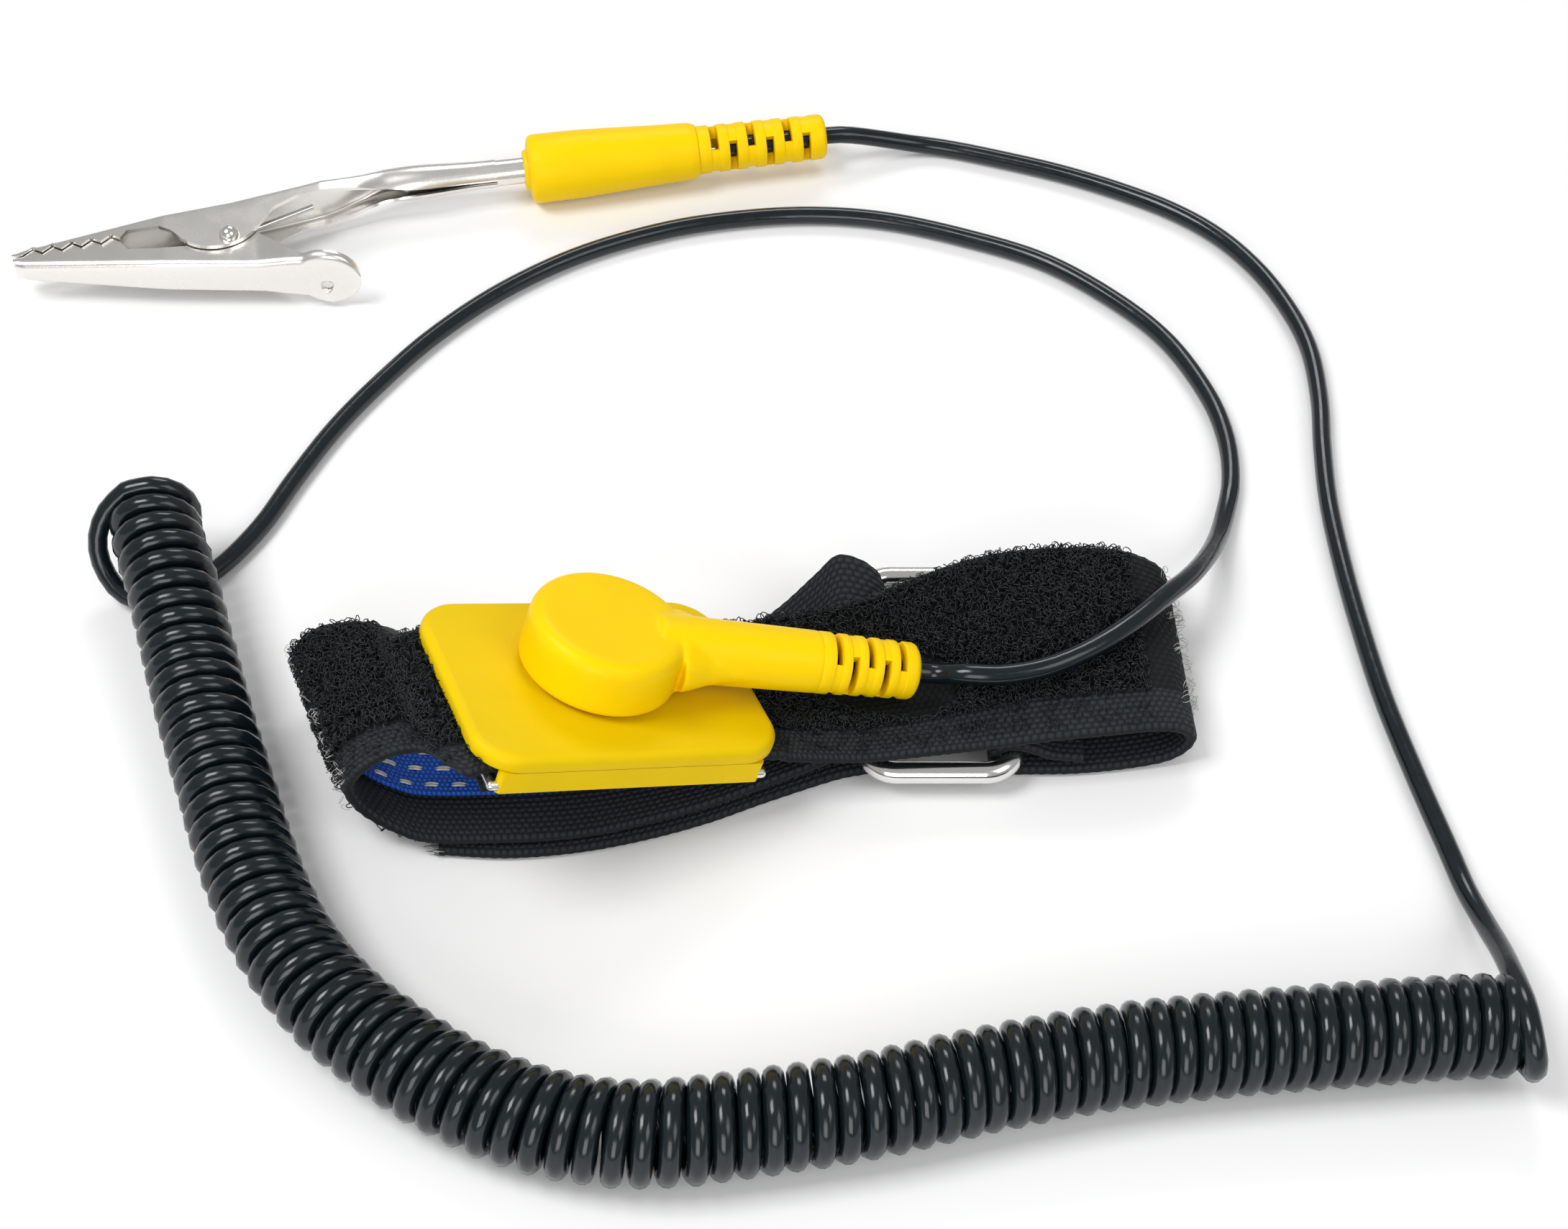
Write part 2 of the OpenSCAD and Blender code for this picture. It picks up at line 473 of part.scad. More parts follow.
module jaw_spring() color("#8f8f8c") on_clip() translate([rivet_at[0], rivet_at[1], 0]) {
    wire = 0.34;
    for (k = [-1.5:1:1.5]) translate([0, 0, k * 0.64]) rotate_extrude() translate([1.6, 0]) circle(wire);
    // The long leg lies in the upper jaw's channel
    translate([0.4, -1.55, 0.96]) rotate([0, 90, 202]) cylinder(r = wire, h = 11);
    translate([0.2, 1.58, -0.96]) rotate([0, 90, 168]) cylinder(r = wire, h = 3.2);
}

buckle_cover();
buckle_base();
contact_plate();
snap_stud();
stud_rivet();
bar_left();
bar_right();
left_band();
liner();
hook_patch();
right_band();
slide_ring();
snap_housing();
snap_socket();
socket_spring();
resistor();
resistor_wires();
snap_lead();
coil();
clip_lead();
plug_handle();
plug_pin();
upper_jaw();
lower_jaw();
jaw_rivet();
jaw_spring();
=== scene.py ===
import math
import random

import bmesh
import bpy
from mathutils import Matrix, Vector


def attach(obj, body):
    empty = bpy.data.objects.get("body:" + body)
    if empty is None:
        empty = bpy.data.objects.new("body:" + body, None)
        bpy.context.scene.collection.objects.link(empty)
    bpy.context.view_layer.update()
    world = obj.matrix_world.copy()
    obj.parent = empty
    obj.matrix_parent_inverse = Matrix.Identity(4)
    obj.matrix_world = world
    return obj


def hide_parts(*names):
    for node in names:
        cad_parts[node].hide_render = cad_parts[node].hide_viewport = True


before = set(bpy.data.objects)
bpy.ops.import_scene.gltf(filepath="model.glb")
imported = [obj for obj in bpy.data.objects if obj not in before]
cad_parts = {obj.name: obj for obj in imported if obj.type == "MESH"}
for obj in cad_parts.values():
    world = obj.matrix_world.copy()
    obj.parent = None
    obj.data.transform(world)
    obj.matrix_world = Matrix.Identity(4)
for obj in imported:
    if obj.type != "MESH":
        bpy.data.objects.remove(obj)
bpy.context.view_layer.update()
rng = random.Random(7)
MM = 0.001


def row(x, y, z):
    """A point of the layout in millimetres, as a point of the row frame in metres."""
    return Vector((x + 4.33, y + 16.36, z)) * MM


# ---------------------------------------------------------------- camera

cam_data = bpy.data.cameras.new("camera")
cam_data.lens = 56.81
cam_data.sensor_width = 36
cam_data.clip_start, cam_data.clip_end = 0.01, 10
camera = bpy.data.objects.new("camera", cam_data)
bpy.context.scene.collection.objects.link(camera)
camera.location = row(0, -169.44, 201.93)
camera.rotation_euler = (math.radians(40), 0, 0)
bpy.context.scene.camera = camera

bpy.context.scene.view_settings.view_transform = "Standard"

# ---------------------------------------------------------------- materials


def material(name):
    m = bpy.data.materials.new(name)
    m.use_nodes = True
    shader = next(n for n in m.node_tree.nodes if n.type == "BSDF_PRINCIPLED")
    return m, m.node_tree.nodes, m.node_tree.links, shader


def set_values(shader, **values):
    names = {"color": "Base Color", "rough": "Roughness", "metal": "Metallic", "ior": "IOR",
             "sheen": "Sheen Weight", "sheen_rough": "Sheen Roughness", "spec": "Specular IOR Level"}
    for key, value in values.items():
        shader.inputs[names[key]].default_value = (*value, 1) if key == "color" else value


def add_bump(nodes, links, shader, height, distance, strength=1.0):
    bump = nodes.new("ShaderNodeBump")
    bump.inputs["Strength"].default_value = strength
    bump.inputs["Distance"].default_value = distance
    links.new(height, bump.inputs["Height"])
    links.new(bump.outputs["Normal"], shader.inputs["Normal"])


def noise(nodes, links, scale, detail, rough=0.5):
    tex = nodes.new("ShaderNodeTexNoise")
    tex.inputs["Scale"].default_value = scale
    tex.inputs["Detail"].default_value = detail
    tex.inputs["Roughness"].default_value = rough
    links.new(nodes.new("ShaderNodeTexCoord").outputs["Object"], tex.inputs["Vector"])
    return tex.outputs["Fac"]


def ramp(nodes, links, value, low, high, a, b):
    """Maps value from low..high to the colours a..b."""
    node = nodes.new("ShaderNodeValToRGB")
    first_stop, last_stop = node.color_ramp.elements
    first_stop.position, last_stop.position = low, high
    first_stop.color, last_stop.color = (*a, 1), (*b, 1)
    links.new(value, node.inputs["Fac"])
    return node.outputs["Color"]


def grey(value):
    return (value, value, value)


def plastic(name, color, rough):
    m, nodes, links, shader = material(name)
    set_values(shader, color=color, rough=rough, ior=1.46, spec=0.12)
    shade = tuple(c * 0.955 for c in color)
    links.new(ramp(nodes, links, noise(nodes, links, 180, 4), 0.3, 0.75, shade, color),
              shader.inputs["Base Color"])
    links.new(ramp(nodes, links, noise(nodes, links, 900, 3), 0.3, 0.7, grey(rough - 0.04), grey(rough + 0.05)),
              shader.inputs["Roughness"])
    add_bump(nodes, links, shader, noise(nodes, links, 5200, 2, 0.6), 0.00003, 0.4)
    return m


def metal(name, color, rough, grain=0.00002):
    m, nodes, links, shader = material(name)
    set_values(shader, color=color, metal=1.0, rough=rough)
    links.new(ramp(nodes, links, noise(nodes, links, 260, 4), 0.3, 0.75, grey(rough * 0.92), grey(rough * 1.1)),
              shader.inputs["Roughness"])
    add_bump(nodes, links, shader, noise(nodes, links, 2600, 3, 0.6), grain, 0.35)
    return m


YELLOW = plastic("yellow_moulding", (0.76, 0.52, 0.0002), 0.42)
YELLOW_PLUG = plastic("yellow_plug", (0.89, 0.59, 0.0003), 0.38)
NICKEL = metal("nickel", (0.83, 0.81, 0.775), 0.27)
BRIGHT = metal("bright_nickel", (0.80, 0.79, 0.765), 0.16, 0.000008)
STEEL = metal("plain_steel", (0.60, 0.60, 0.59), 0.26)


def cord_material():
    m, nodes, links, shader = material("cord_jacket")
    set_values(shader, color=(0.0042, 0.0082, 0.0108), rough=0.2, ior=1.5, spec=0.42)
    links.new(ramp(nodes, links, noise(nodes, links, 700, 4), 0.35, 0.75, grey(0.13), grey(0.27)),
              shader.inputs["Roughness"])
    add_bump(nodes, links, shader, noise(nodes, links, 900, 2), 0.00006, 0.25)
    return m


CORD = cord_material()


def weave_material(name, base, light, pitch_u, pitch_v, depth, sheen):
    """A twill of fine cords: UV is in millimetres along and across the webbing."""
    m, nodes, links, shader = material(name)
    set_values(shader, color=base, rough=0.78, sheen=sheen, sheen_rough=0.45, spec=0.25)
    uv = nodes.new("ShaderNodeSeparateXYZ")
    links.new(nodes.new("ShaderNodeTexCoord").outputs["UV"], uv.inputs[0])

    def op(kind, a, b=None, value=None):
        node = nodes.new("ShaderNodeMath")
        node.operation = kind
        links.new(a, node.inputs[0])
        if b is not None:
            links.new(b, node.inputs[1])
        if value is not None:
            node.inputs[1].default_value = value
        return node.outputs[0]

    def ridge(count):
        """Rises and falls once for every whole step of count."""
        return op("POWER", op("MULTIPLY", op("PINGPONG", count, value=0.5), value=2.0), value=0.6)

    rows = op("MULTIPLY", uv.outputs["Y"], value=1 / pitch_v)
    half_steps = op("MULTIPLY", op("FLOOR", rows), value=0.5)
    shifted = op("ADD", op("MULTIPLY", uv.outputs["X"], value=1 / pitch_u), half_steps)
    fuzz = noise(nodes, links, 5000, 2, 0.7)
    total = op("ADD", op("MULTIPLY", ridge(shifted), ridge(rows)), op("MULTIPLY", fuzz, value=0.35))
    # Painted light: the valleys between the cords are darkened to a painted shade, and the cord crowns are lit
    # to the second colour as a painted highlight; the fuzz noise adds random tone.
    shade = tuple(c * 0.45 for c in base)
    links.new(ramp(nodes, links, total, 0.15, 1.05, shade, light), shader.inputs["Base Color"])
    add_bump(nodes, links, shader, total, depth, 0.9)
    return m


# For each weave, the second colour is the painted highlight on the cord crowns, and the first colour, darkened
# further, is the painted shade in the valleys.
WEB = weave_material("webbing_twill", (0.005, 0.007, 0.009), (0.027, 0.034, 0.041), 0.78, 0.62, 0.0003, 0.03)
WEB_PILE = weave_material("webbing_pile_ground", (0.0022, 0.003, 0.0036), (0.006, 0.008, 0.0095), 0.8, 0.7,
                          0.00025, 0.02)
BLUE = weave_material("blue_weave", (0.008, 0.07, 0.45), (0.03, 0.17, 0.85), 0.55, 0.5, 0.00022, 0.05)


def fibre_material(name, color, rough, light):
    m, nodes, links, shader = material(name)
    set_values(shader, color=color, rough=rough, sheen=0.03, sheen_rough=0.4, spec=0.3)
    links.new(ramp(nodes, links, noise(nodes, links, 1500, 2), 0.35, 0.7, color, light),
              shader.inputs["Base Color"])
    return m


PILE = fibre_material("pile_loops", (0.003, 0.004, 0.0048), 0.3, (0.016, 0.020, 0.023))
WHITE_FIBRE = fibre_material("clear_fibre", (0.36, 0.36, 0.34), 0.35, (0.6, 0.6, 0.57))
SILVER_YARN = fibre_material("silver_yarn", (0.5, 0.48, 0.44), 0.42, (0.72, 0.7, 0.65))
BLACK_YARN = fibre_material("selvage_yarn", (0.004, 0.0055, 0.007), 0.6, (0.016, 0.02, 0.025))

# ---------------------------------------------------------------- mesh helpers


def to_object(name, bm, mat):
    me = bpy.data.meshes.new(name)
    bmesh.ops.recalc_face_normals(bm, faces=bm.faces)
    bm.to_mesh(me)
    bm.free()
    for poly in me.polygons:
        poly.use_smooth = True
    me.materials.append(mat)
    ob = bpy.data.objects.new(name, me)
    bpy.context.scene.collection.objects.link(ob)
    return ob


def curve(name, points, radius, mat):
    """A round tube along points."""
    data = bpy.data.curves.new(name, "CURVE")
    data.dimensions = "3D"
    data.bevel_depth = radius
    data.bevel_resolution = 4
    data.use_fill_caps = True
    spline = data.splines.new("POLY")
    spline.points.add(len(points) - 1)
    for target, p in zip(spline.points, points):
        target.co = (*p, 1)
    spline.use_smooth = True
    data.materials.append(mat)
    ob = bpy.data.objects.new(name, data)
    bpy.context.scene.collection.objects.link(ob)
    return ob


def catmull(points, n):
    """A smooth line through points with n steps between each two."""
    out, m = [], len(points) - 1
    for i in range(m):
        a, b, c, d = points[max(i - 1, 0)], points[i], points[i + 1], points[min(i + 2, m)]
        for k in range(n):
            t = k / n
            out.append(0.5 * (2 * b + (c - a) * t + (2 * a - 5 * b + 4 * c - d) * t * t
                              + (3 * b - a - 3 * c + d) * t ** 3))
    return out + [points[-1]]


def resample(points, step):
    """Points spaced evenly along a line."""
    lengths = [0.0]
    for a, b in zip(points, points[1:]):
        lengths.append(lengths[-1] + (b - a).length)
    count = max(2, round(lengths[-1] / step))
    out, k = [], 0
    for i in range(count + 1):
        s = lengths[-1] * i / count
        while k < len(points) - 2 and lengths[k + 1] < s:
            k += 1
        t = (s - lengths[k]) / max(lengths[k + 1] - lengths[k], 1e-12)
        out.append(points[k].lerp(points[k + 1], min(max(t, 0), 1)))
    return out


def line_length(points):
    return sum((b - a).length for a, b in zip(points, points[1:]))


def revolve(profile, segments=96):
    """A closed mesh turned round Z from (radius, height) pairs that start and end on the axis."""
    bm = bmesh.new()
    rings = []
    for r, z in profile:
        if r < 1e-9:
            rings.append([bm.verts.new((0, 0, z))])
        else:
            turn = [2 * math.pi * i / segments for i in range(segments)]
            rings.append([bm.verts.new((r * math.cos(a), r * math.sin(a), z)) for a in turn])
    for a, b in zip(rings, rings[1:]):
        for i in range(segments):
            j = (i + 1) % segments
            loop = [a[i % len(a)], a[j % len(a)], b[j % len(b)], b[i % len(b)]]
            loop = [v for k, v in enumerate(loop) if v not in loop[:k]]
            if len(loop) > 2:
                bm.faces.new(loop)
    return bm


def place(ob, matrix):
    ob.data.transform(matrix)
    return ob

# ---------------------------------------------------------------- the part's own layout, in millimetres

COVER_T, COVER_L, COVER_W = 1.8, 32.0, 23.2
STRAP_W, STRAP_T = 22.0, 1.2
HEAD_D, HEAD_H, ARM_L, RELIEF_L = 15.8, 6.0, 31.6, 10.0
CORD_D, COIL_D = 2.1, 9.8
ARM_Z, ARM_PITCH, ARM_TURN = 3.85, math.radians(3.5), math.radians(-14)
HANDLE_D, HANDLE_L, HANDLE_RELIEF = 8.4, 37.5, 16.0
BAR_Z = -3.6
MIDDLE = Vector((-4.33, -16.36, 0))

ta, tb, tc = (math.radians(a) for a in (-6.5, 22, 20.5))
BX = Vector((math.cos(tc) * math.cos(tb), math.sin(tc) * math.cos(tb), -math.sin(tb)))
BY = Vector((math.cos(tc) * math.sin(tb) * math.sin(ta) - math.sin(tc) * math.cos(ta),
             math.sin(tc) * math.sin(tb) * math.sin(ta) + math.cos(tc) * math.cos(ta),
             math.cos(tb) * math.sin(ta)))
BZ = BX.cross(BY)
BUCKLE_AT = Vector((-17.7, -19.9, 14.6))
STUD_AT = (-0.4, 0.8, 0)


def in_buckle(x, y, z):
    return BUCKLE_AT + x * BX + y * BY + z * BZ


def frame_of(origin, x, y, z):
    m = Matrix((x, y, z)).transposed().to_4x4()
    m.translation = origin
    return m


TO_ROW = Matrix.Scale(MM, 4) @ Matrix.Translation(-MIDDLE)
ON_BUCKLE = TO_ROW @ frame_of(BUCKLE_AT, BX, BY, BZ)
ON_STUD = ON_BUCKLE @ Matrix.Translation(STUD_AT)
ON_ARM = ON_STUD @ Matrix.Rotation(ARM_TURN, 4, "Z")
ON_PITCH = ON_ARM @ Matrix.Translation((4, 0, ARM_Z)) @ Matrix.Rotation(-ARM_PITCH, 4, "Y")
ON_CLIP = TO_ROW @ Matrix.Translation((-35.3, 67.1, 4.2)) @ Matrix.Rotation(math.radians(190), 4, "Z")
ON_HANDLE = ON_CLIP @ Matrix.Translation((-3.4, 0, 0)) @ Matrix.Rotation(math.pi, 4, "Z")


def wrap(x, side, y, turn):
    """A band's line round the strap bar at x, at y across the buckle."""
    c, s = math.cos(math.radians(turn)), math.sin(math.radians(turn))
    profile = [(-5, -0.6), (-2.4, -0.9), (-0.5, -1.3), (0.95, -0.95), (1.3, 0), (0.9, 0.9),
               (-0.5, 1.15), (-2.4, 1.15)]
    return [in_buckle(x + side * (p * c + q * s), y, BAR_Z + q * c - p * s) for p, q in profile]


def points(text):
    """Points written as x y z triples."""
    v = [float(w) for w in text.split()]
    return [Vector(v[i:i + 3]) for i in range(0, len(v), 3)]


HALF = STRAP_W / 2 - 0.85
left_front = wrap(-14.2, 1, -HALF, -12) + points("""
    -33.3 -31.2 17.2  -36.3 -30.5 16  -38.6 -30.2 14.2  -40.6 -30 11.8  -41.8 -29.6 9  -41.4 -29.4 6.2
    -40 -29.6 4.2  -37.5 -30.4 3  -34.6 -31 2.4  -27.5 -31 2.4  -20 -30.4 2.4  -13.5 -28.8 2.4
    -7.5 -26.8 2.4  -2 -24.6 2.75  3.4 -22.6 3.4  6.4 -21.7 4.4  8.4 -21.4 4.6  10 -21.4 4  10.4 -21.4 2.75
    9.8 -21.4 1.35  8.3 -21.4 0.66  5 -22.2 0.62  -2 -25 0.62  -7.5 -27.4 0.62  -13.5 -29.4 0.62
    -20 -30.9 0.62  -27 -31.6 0.62  -33.9 -31.2 0.62""")
left_rear = wrap(-14.2, 1, HALF, -12) + points("""
    -40.2 -11.8 12.4  -43.8 -10.4 11  -46.6 -9.8 9.6  -48.7 -9.6 7.8  -49.6 -9.6 6  -49 -9.6 4.4
    -47.2 -9.4 3.3  -44.4 -9.2 2.8  -40 -9.4 2.4  -29.5 -9.1 2.4  -20.5 -8.4 2.4  -11.5 -7.4 2.4
    -5.4 -6 3.1  -0.6 -3.6 5.2  3.2 -0.8 7.3  5.4 1 8.3  7.6 0.8 8.1  9.5 0.5 6.4  10.3 0.2 3.4
    9.9 0.2 1.45  8.3 0.2 0.66  4.5 -0.6 0.62  0.5 -4.6 0.62  -5 -6.6 0.62  -11.5 -8 0.62
    -19 -9.2 0.62  -27 -9.6 0.62  -35.5 -9.3 0.62""")
right_front = wrap(14.2, -1, -HALF, 0)[2:] + [in_buckle(17.8, -HALF, -2.8)] + points("""
    7.6 -23.8 5.85  14.5 -23 5.9  20 -22.3 5.9  26.2 -21.6 6.3  32.9 -20.9 6.5  37.2 -20.3 6.3
    39.8 -19.9 5.4  40.9 -19.7 3.8  40.2 -19.8 2  38.2 -20.2 1  34 -20.8 0.62  29.5 -21.3 0.62
    25.5 -21.4 0.62  23 -21.4 0.66  21.5 -21.4 1.35  21 -21.4 2.75  21.6 -21.4 4.1  23 -21.4 4.6
    24.8 -21.4 4.1  27 -21.3 2.9  30 -21.2 2.4""")
right_rear = wrap(14.2, -1, HALF, 0)[2:] + [in_buckle(17.8, HALF, -2.8)] + points("""
    6 -5.5 8  13 -2.4 8.4  19.6 -0.2 9.2  25.6 1.2 9  31.4 1.9 8.4  35.8 2.2 7.4  38.8 2 5.8
    39.9 1.8 4  39.3 1.7 2  37.4 1.6 1  34 1.2 0.62  29.5 0.6 0.62  25.5 0.4 0.62  23 0.4 0.66
    21.5 0.4 1.35  21 0.4 2.75  21.6 0.4 4.1  23 0.4 4.6  24.8 0.4 4.1  27 0.4 2.9  30 0.5 2.4""")
LEFT_DIPS = {20: 0.35, 21: 1.3, 22: 2, 23: 1.8, 24: 1.7, 25: 1, 26: 0.3}
RIGHT_DIPS = {7: 0.8, 8: 1.6, 9: 0.9, 10: 0.3}

arm_far = 4 + (ARM_L - 4) * math.cos(ARM_PITCH)
arm_end = in_buckle(STUD_AT[0] + arm_far * math.cos(ARM_TURN), STUD_AT[1] + arm_far * math.sin(ARM_TURN),
                    ARM_Z + (ARM_L - 4) * math.sin(ARM_PITCH))
arm_dir = (math.cos(ARM_PITCH) * (BX * math.cos(ARM_TURN) + BY * math.sin(ARM_TURN))
           + math.sin(ARM_PITCH) * BZ)
R0 = CORD_D / 2
snap_route = [arm_end + 0.1 * arm_dir, arm_end + 1.2 * arm_dir, arm_end + 2.6 * arm_dir] + points("""
    18 -16 9.9  22 -16 9.8  26.5 -15 9.9  31 -12.6 9.9  35.2 -9.2 9.7  38.9 -5.2 9  42.4 -0.6 7  45.1 4.5 4.4
    47 9.2 2.2  48.4 13.6 1.2  49.6 18.5 1.05  49.8 25 1.05  48.4 32.2 1.05  44.6 41 1.05  38.8 48.2 1.05
    31.1 54.7 1.05  21.8 59 1.05  12.5 62 1.05  3.9 63 1.05  -4.8 62.4 1.05  -14.2 60.3 1.05
    -24.4 55.9 1.05  -33.3 49.6 1.05  -40.7 42 1.05  -46.3 34.2 1.05  -50.8 26.6 1.05  -54.4 18.6 1.05
    -57 12 1.05  -60.3 6.4 1.05  -64 2.6 1.05  -67.4 0.8 1.05  -70.6 1.6 1.9  -72.5 3.7 4.2  -72.6 5.4 6.8
    -71.4 6.9 9  -69.3 8 10.7""")
coil_route = points("""
    -66.9 8.3 7.4  -66 4.4 7.3  -64 -0.6 6.8  -60.8 -10 5.3  -57.9 -18.2 4.9  -54.9 -26 4.9  -52 -33.6 4.9
    -49.1 -40 4.9  -45.6 -45.8 4.9  -40.9 -51.3 4.9  -35 -56 4.9  -28.9 -59.8 4.9  -22.4 -62.5 4.9
    -16 -63.8 4.9  -10.3 -63.9 4.9  -3.4 -63 4.9  7 -61.3 4.9  17.6 -58.7 4.9  28.3 -56.5 4.9
    39.1 -55.1 4.9  49.9 -54.1 4.9  60.8 -53.2 4.9  66.9 -53 4.9""")
clip_route = points("""
    5.2 74.3 4.2  7.7 74.7 4  11 75.4 3  16 76 1.6  20.1 75.8 1.05  26 74 1.05  34.3 71 1.05  42 67.3 1.05
    48.2 63.4 1.05  53.2 58.6 1.05  57.2 52.3 1.05  59.9 45.3 1.05  61.2 38.8 1.05  61.2 31 1.05
    60.5 23.8 1.05  60 15.3 1.05  60.2 6.2 1.05  60.8 -2.6 1.05  61.8 -12.3 1.05  63.5 -22.3 1.05
    65.2 -31 1.05  66 -35.6 1.2  66.7 -40.4 2.6  66.9 -45 5  66.7 -49.2 7.4  66.7 -53.2 8.9  66.8 -56.4 8.6
    67.3 -58 6.6  67.7 -57.4 4.2""")

# ---------------------------------------------------------------- the cord, from the snap to the plug


def helix(route, radius, pitch0, pitch1, start, end, per_turn=18):
    """Turns round a smooth axis from the phase start to one that matches end, in radians."""
    axis = resample(catmull(route, 12), 0.12)
    lengths, phase, total = [0.0], [start], line_length(axis)
    for a, b in zip(axis, axis[1:]):
        lengths.append(lengths[-1] + (b - a).length)
        pitch = pitch0 + (pitch1 - pitch0) * lengths[-1] / total
        phase.append(phase[-1] + 2 * math.pi * (b - a).length / pitch)
    turns = round((phase[-1] - end) / (2 * math.pi))
    gain = (2 * math.pi * turns + end - start) / (phase[-1] - start)
    out, want, step = [], start, 2 * math.pi / per_turn
    for i in range(len(axis) - 1):
        p0, p1 = start + (phase[i] - start) * gain, start + (phase[i + 1] - start) * gain
        while want <= p1 + 1e-9:
            t = (want - p0) / (p1 - p0)
            centre = axis[i].lerp(axis[i + 1], t)
            ahead = (axis[min(i + 6, len(axis) - 1)] - axis[max(i - 6, 0)]).normalized()
            side = ahead.cross(Vector((0, 0, 1))).normalized()
            up = side.cross(ahead)
            wobble = 0.10 * math.sin(want * 0.37) + 0.06 * math.sin(want * 0.113 + 1)
            r = radius - 0.05 + 0.2 * wobble
            out.append(centre + r * (math.cos(want) * side + math.sin(want) * up) + ahead * wobble * 0.35)
            want += step
    return out


coil_turns = helix(coil_route, COIL_D / 2 - R0, 2.42, 2.12, math.radians(96), math.radians(-90))
front_loop = list(reversed(clip_route))
inner_end = ON_HANDLE @ Vector((HANDLE_L - 13, 0, 0)) / MM + MIDDLE
mid_end = ON_HANDLE @ Vector((HANDLE_L - 5, 0, 0)) / MM + MIDDLE
first = resample(catmull(snap_route, 10), 1.5)
last = resample(catmull(front_loop + [mid_end, inner_end], 10), 1.5)
joined = first[:-1] + catmull([first[-2], first[-1], coil_turns[0], coil_turns[1]], 4)[4:8] + coil_turns
tail = catmull([coil_turns[-2], coil_turns[-1], last[0], last[1]], 4)[5:8]
cord_line = joined + tail + last
cord_points = [TO_ROW @ p for p in cord_line]
cord = curve("earth_cord", cord_points, R0 * MM, CORD)
# The stretch inside the snap connector's strain relief moves with the connector
core_line = [TO_ROW @ (arm_end + t * arm_dir) for t in (-9.4, -6, -3, 0.05)]
cord_core = curve("cord_core", core_line, R0 * MM, CORD)

# ---------------------------------------------------------------- webbing


def cross_lines(front, rear, dips, steps):
    mid = [(f + r) / 2 - Vector((0, 0, dips.get(i, 0))) for i, (f, r) in enumerate(zip(front, rear))]
    return [catmull(line, steps) for line in (front, mid, rear)]


def across(lines, i, v):
    """The point at the share v of the width, on a parabola through the three lines."""
    a, b, c = (line[i] for line in lines)
    flat = a.lerp(b, 2 * v) if v < 0.5 else b.lerp(c, 2 * v - 1)
    round_ = a * (2 * (v - 0.5) * (v - 1)) + b * (4 * v * (1 - v)) + c * (2 * v * (v - 0.5))
    return flat.lerp(round_, 0.7)


class Band:
    """A strip of webbing along three lines: its front edge, its middle and its rear edge."""

    def __init__(self, lines, a=0, b=None):
        self.lines = [line[a:b] for line in lines]
        mid = self.lines[1]
        self.at = [0.0]
        for p, q in zip(mid, mid[1:]):
            self.at.append(self.at[-1] + (q - p).length)
        self.length = self.at[-1]

    def place(self, s, v, h=0.0):
        """The point s millimetres along, at the share v of the width and h above the middle surface,
        with its normal and tangent."""
        s = min(max(s, 0), self.length)
        i = next((k for k in range(self.hint(s), len(self.at) - 1) if self.at[k + 1] >= s), len(self.at) - 2)
        t = (s - self.at[i]) / max(self.at[i + 1] - self.at[i], 1e-9)
        j0, j1 = max(i - 1, 0), min(i + 2, len(self.at) - 1)
        p = across(self.lines, i, v).lerp(across(self.lines, i + 1, v), t)
        tangent = (across(self.lines, j1, v) - across(self.lines, j0, v)).normalized()
        side = across(self.lines, i, min(v + 0.1, 1)) - across(self.lines, i, max(v - 0.1, 0))
        normal = tangent.cross(side).normalized()
        return p + h * normal, normal, tangent

    def hint(self, s):
        """An index a little before s."""
        lo, hi = 0, len(self.at) - 1
        while hi - lo > 4:
            m = (lo + hi) // 2
            lo, hi = (m, hi) if self.at[m] < s - 1e-9 else (lo, m)
        return lo


def strip_mesh(name, band, v0, v1, h0, h1, mats, step, cols, shape=None, taper=0.6):
    """A closed strip from v0 to v1 of the width between the heights h0 and h1, with round long edges.
    shape(s, v, side) adds a height to a face; UV is in millimetres."""
    bm = bmesh.new()
    uv_layer = bm.loops.layers.uv.new("UVMap")
    rows = max(2, round(band.length / step))
    width = STRAP_W * (v1 - v0)
    rim = [-1, -1 + taper / width * 0.7]
    rim += [-1 + taper * 2.4 / width + (2 - taper * 4.8 / width) * k / cols for k in range(cols + 1)]
    rim += [1 - taper / width * 0.7, 1]
    full = [0.35, 0.8] + [1] * (cols + 1) + [0.8, 0.35]
    grid, uvs = [], []
    for i in range(rows + 1):
        s = band.length * i / rows
        ring, ring_uv = [], []
        for side in (1, 0):
            order = range(len(rim)) if side else range(len(rim) - 1, -1, -1)
            for k in order:
                v = v0 + (v1 - v0) * (rim[k] + 1) / 2
                h = (h0 + h1) / 2 + (1 if side else -1) * (h1 - h0) / 2 * full[k]
                if shape:
                    h += shape(s, v, side)
                p, _, _ = band.place(s, v, h)
                ring.append(bm.verts.new(p * MM))
                ring_uv.append((s, v * STRAP_W))
        grid.append(ring)
        uvs.append(ring_uv)
    n = len(grid[0])
    for i in range(rows):
        for k in range(n):
            j = (k + 1) % n
            face = bm.faces.new((grid[i][k], grid[i + 1][k], grid[i + 1][j], grid[i][j]))
            for loop, uv in zip(face.loops, (uvs[i][k], uvs[i + 1][k], uvs[i + 1][j], uvs[i][j])):
                loop[uv_layer].uv = uv
            if len(mats) > 1:
                v = v0 + (v1 - v0) * (rim[k if k < len(rim) else n - 1 - k] + 1) / 2
                face.material_index = mats[1](s=uvs[i][k][0], v=v, side=1 if k < len(rim) - 1 else 0)
    bm.faces.new(grid[0])
    bm.faces.new(list(reversed(grid[-1])))
    ob = to_object(name, bm, mats[0] if len(mats) == 1 else mats[0][0])
    if len(mats) > 1:
        for extra in mats[0][1:]:
            ob.data.materials.append(extra)
    ob.data.transform(Matrix.Translation(-MIDDLE * MM))
    return ob


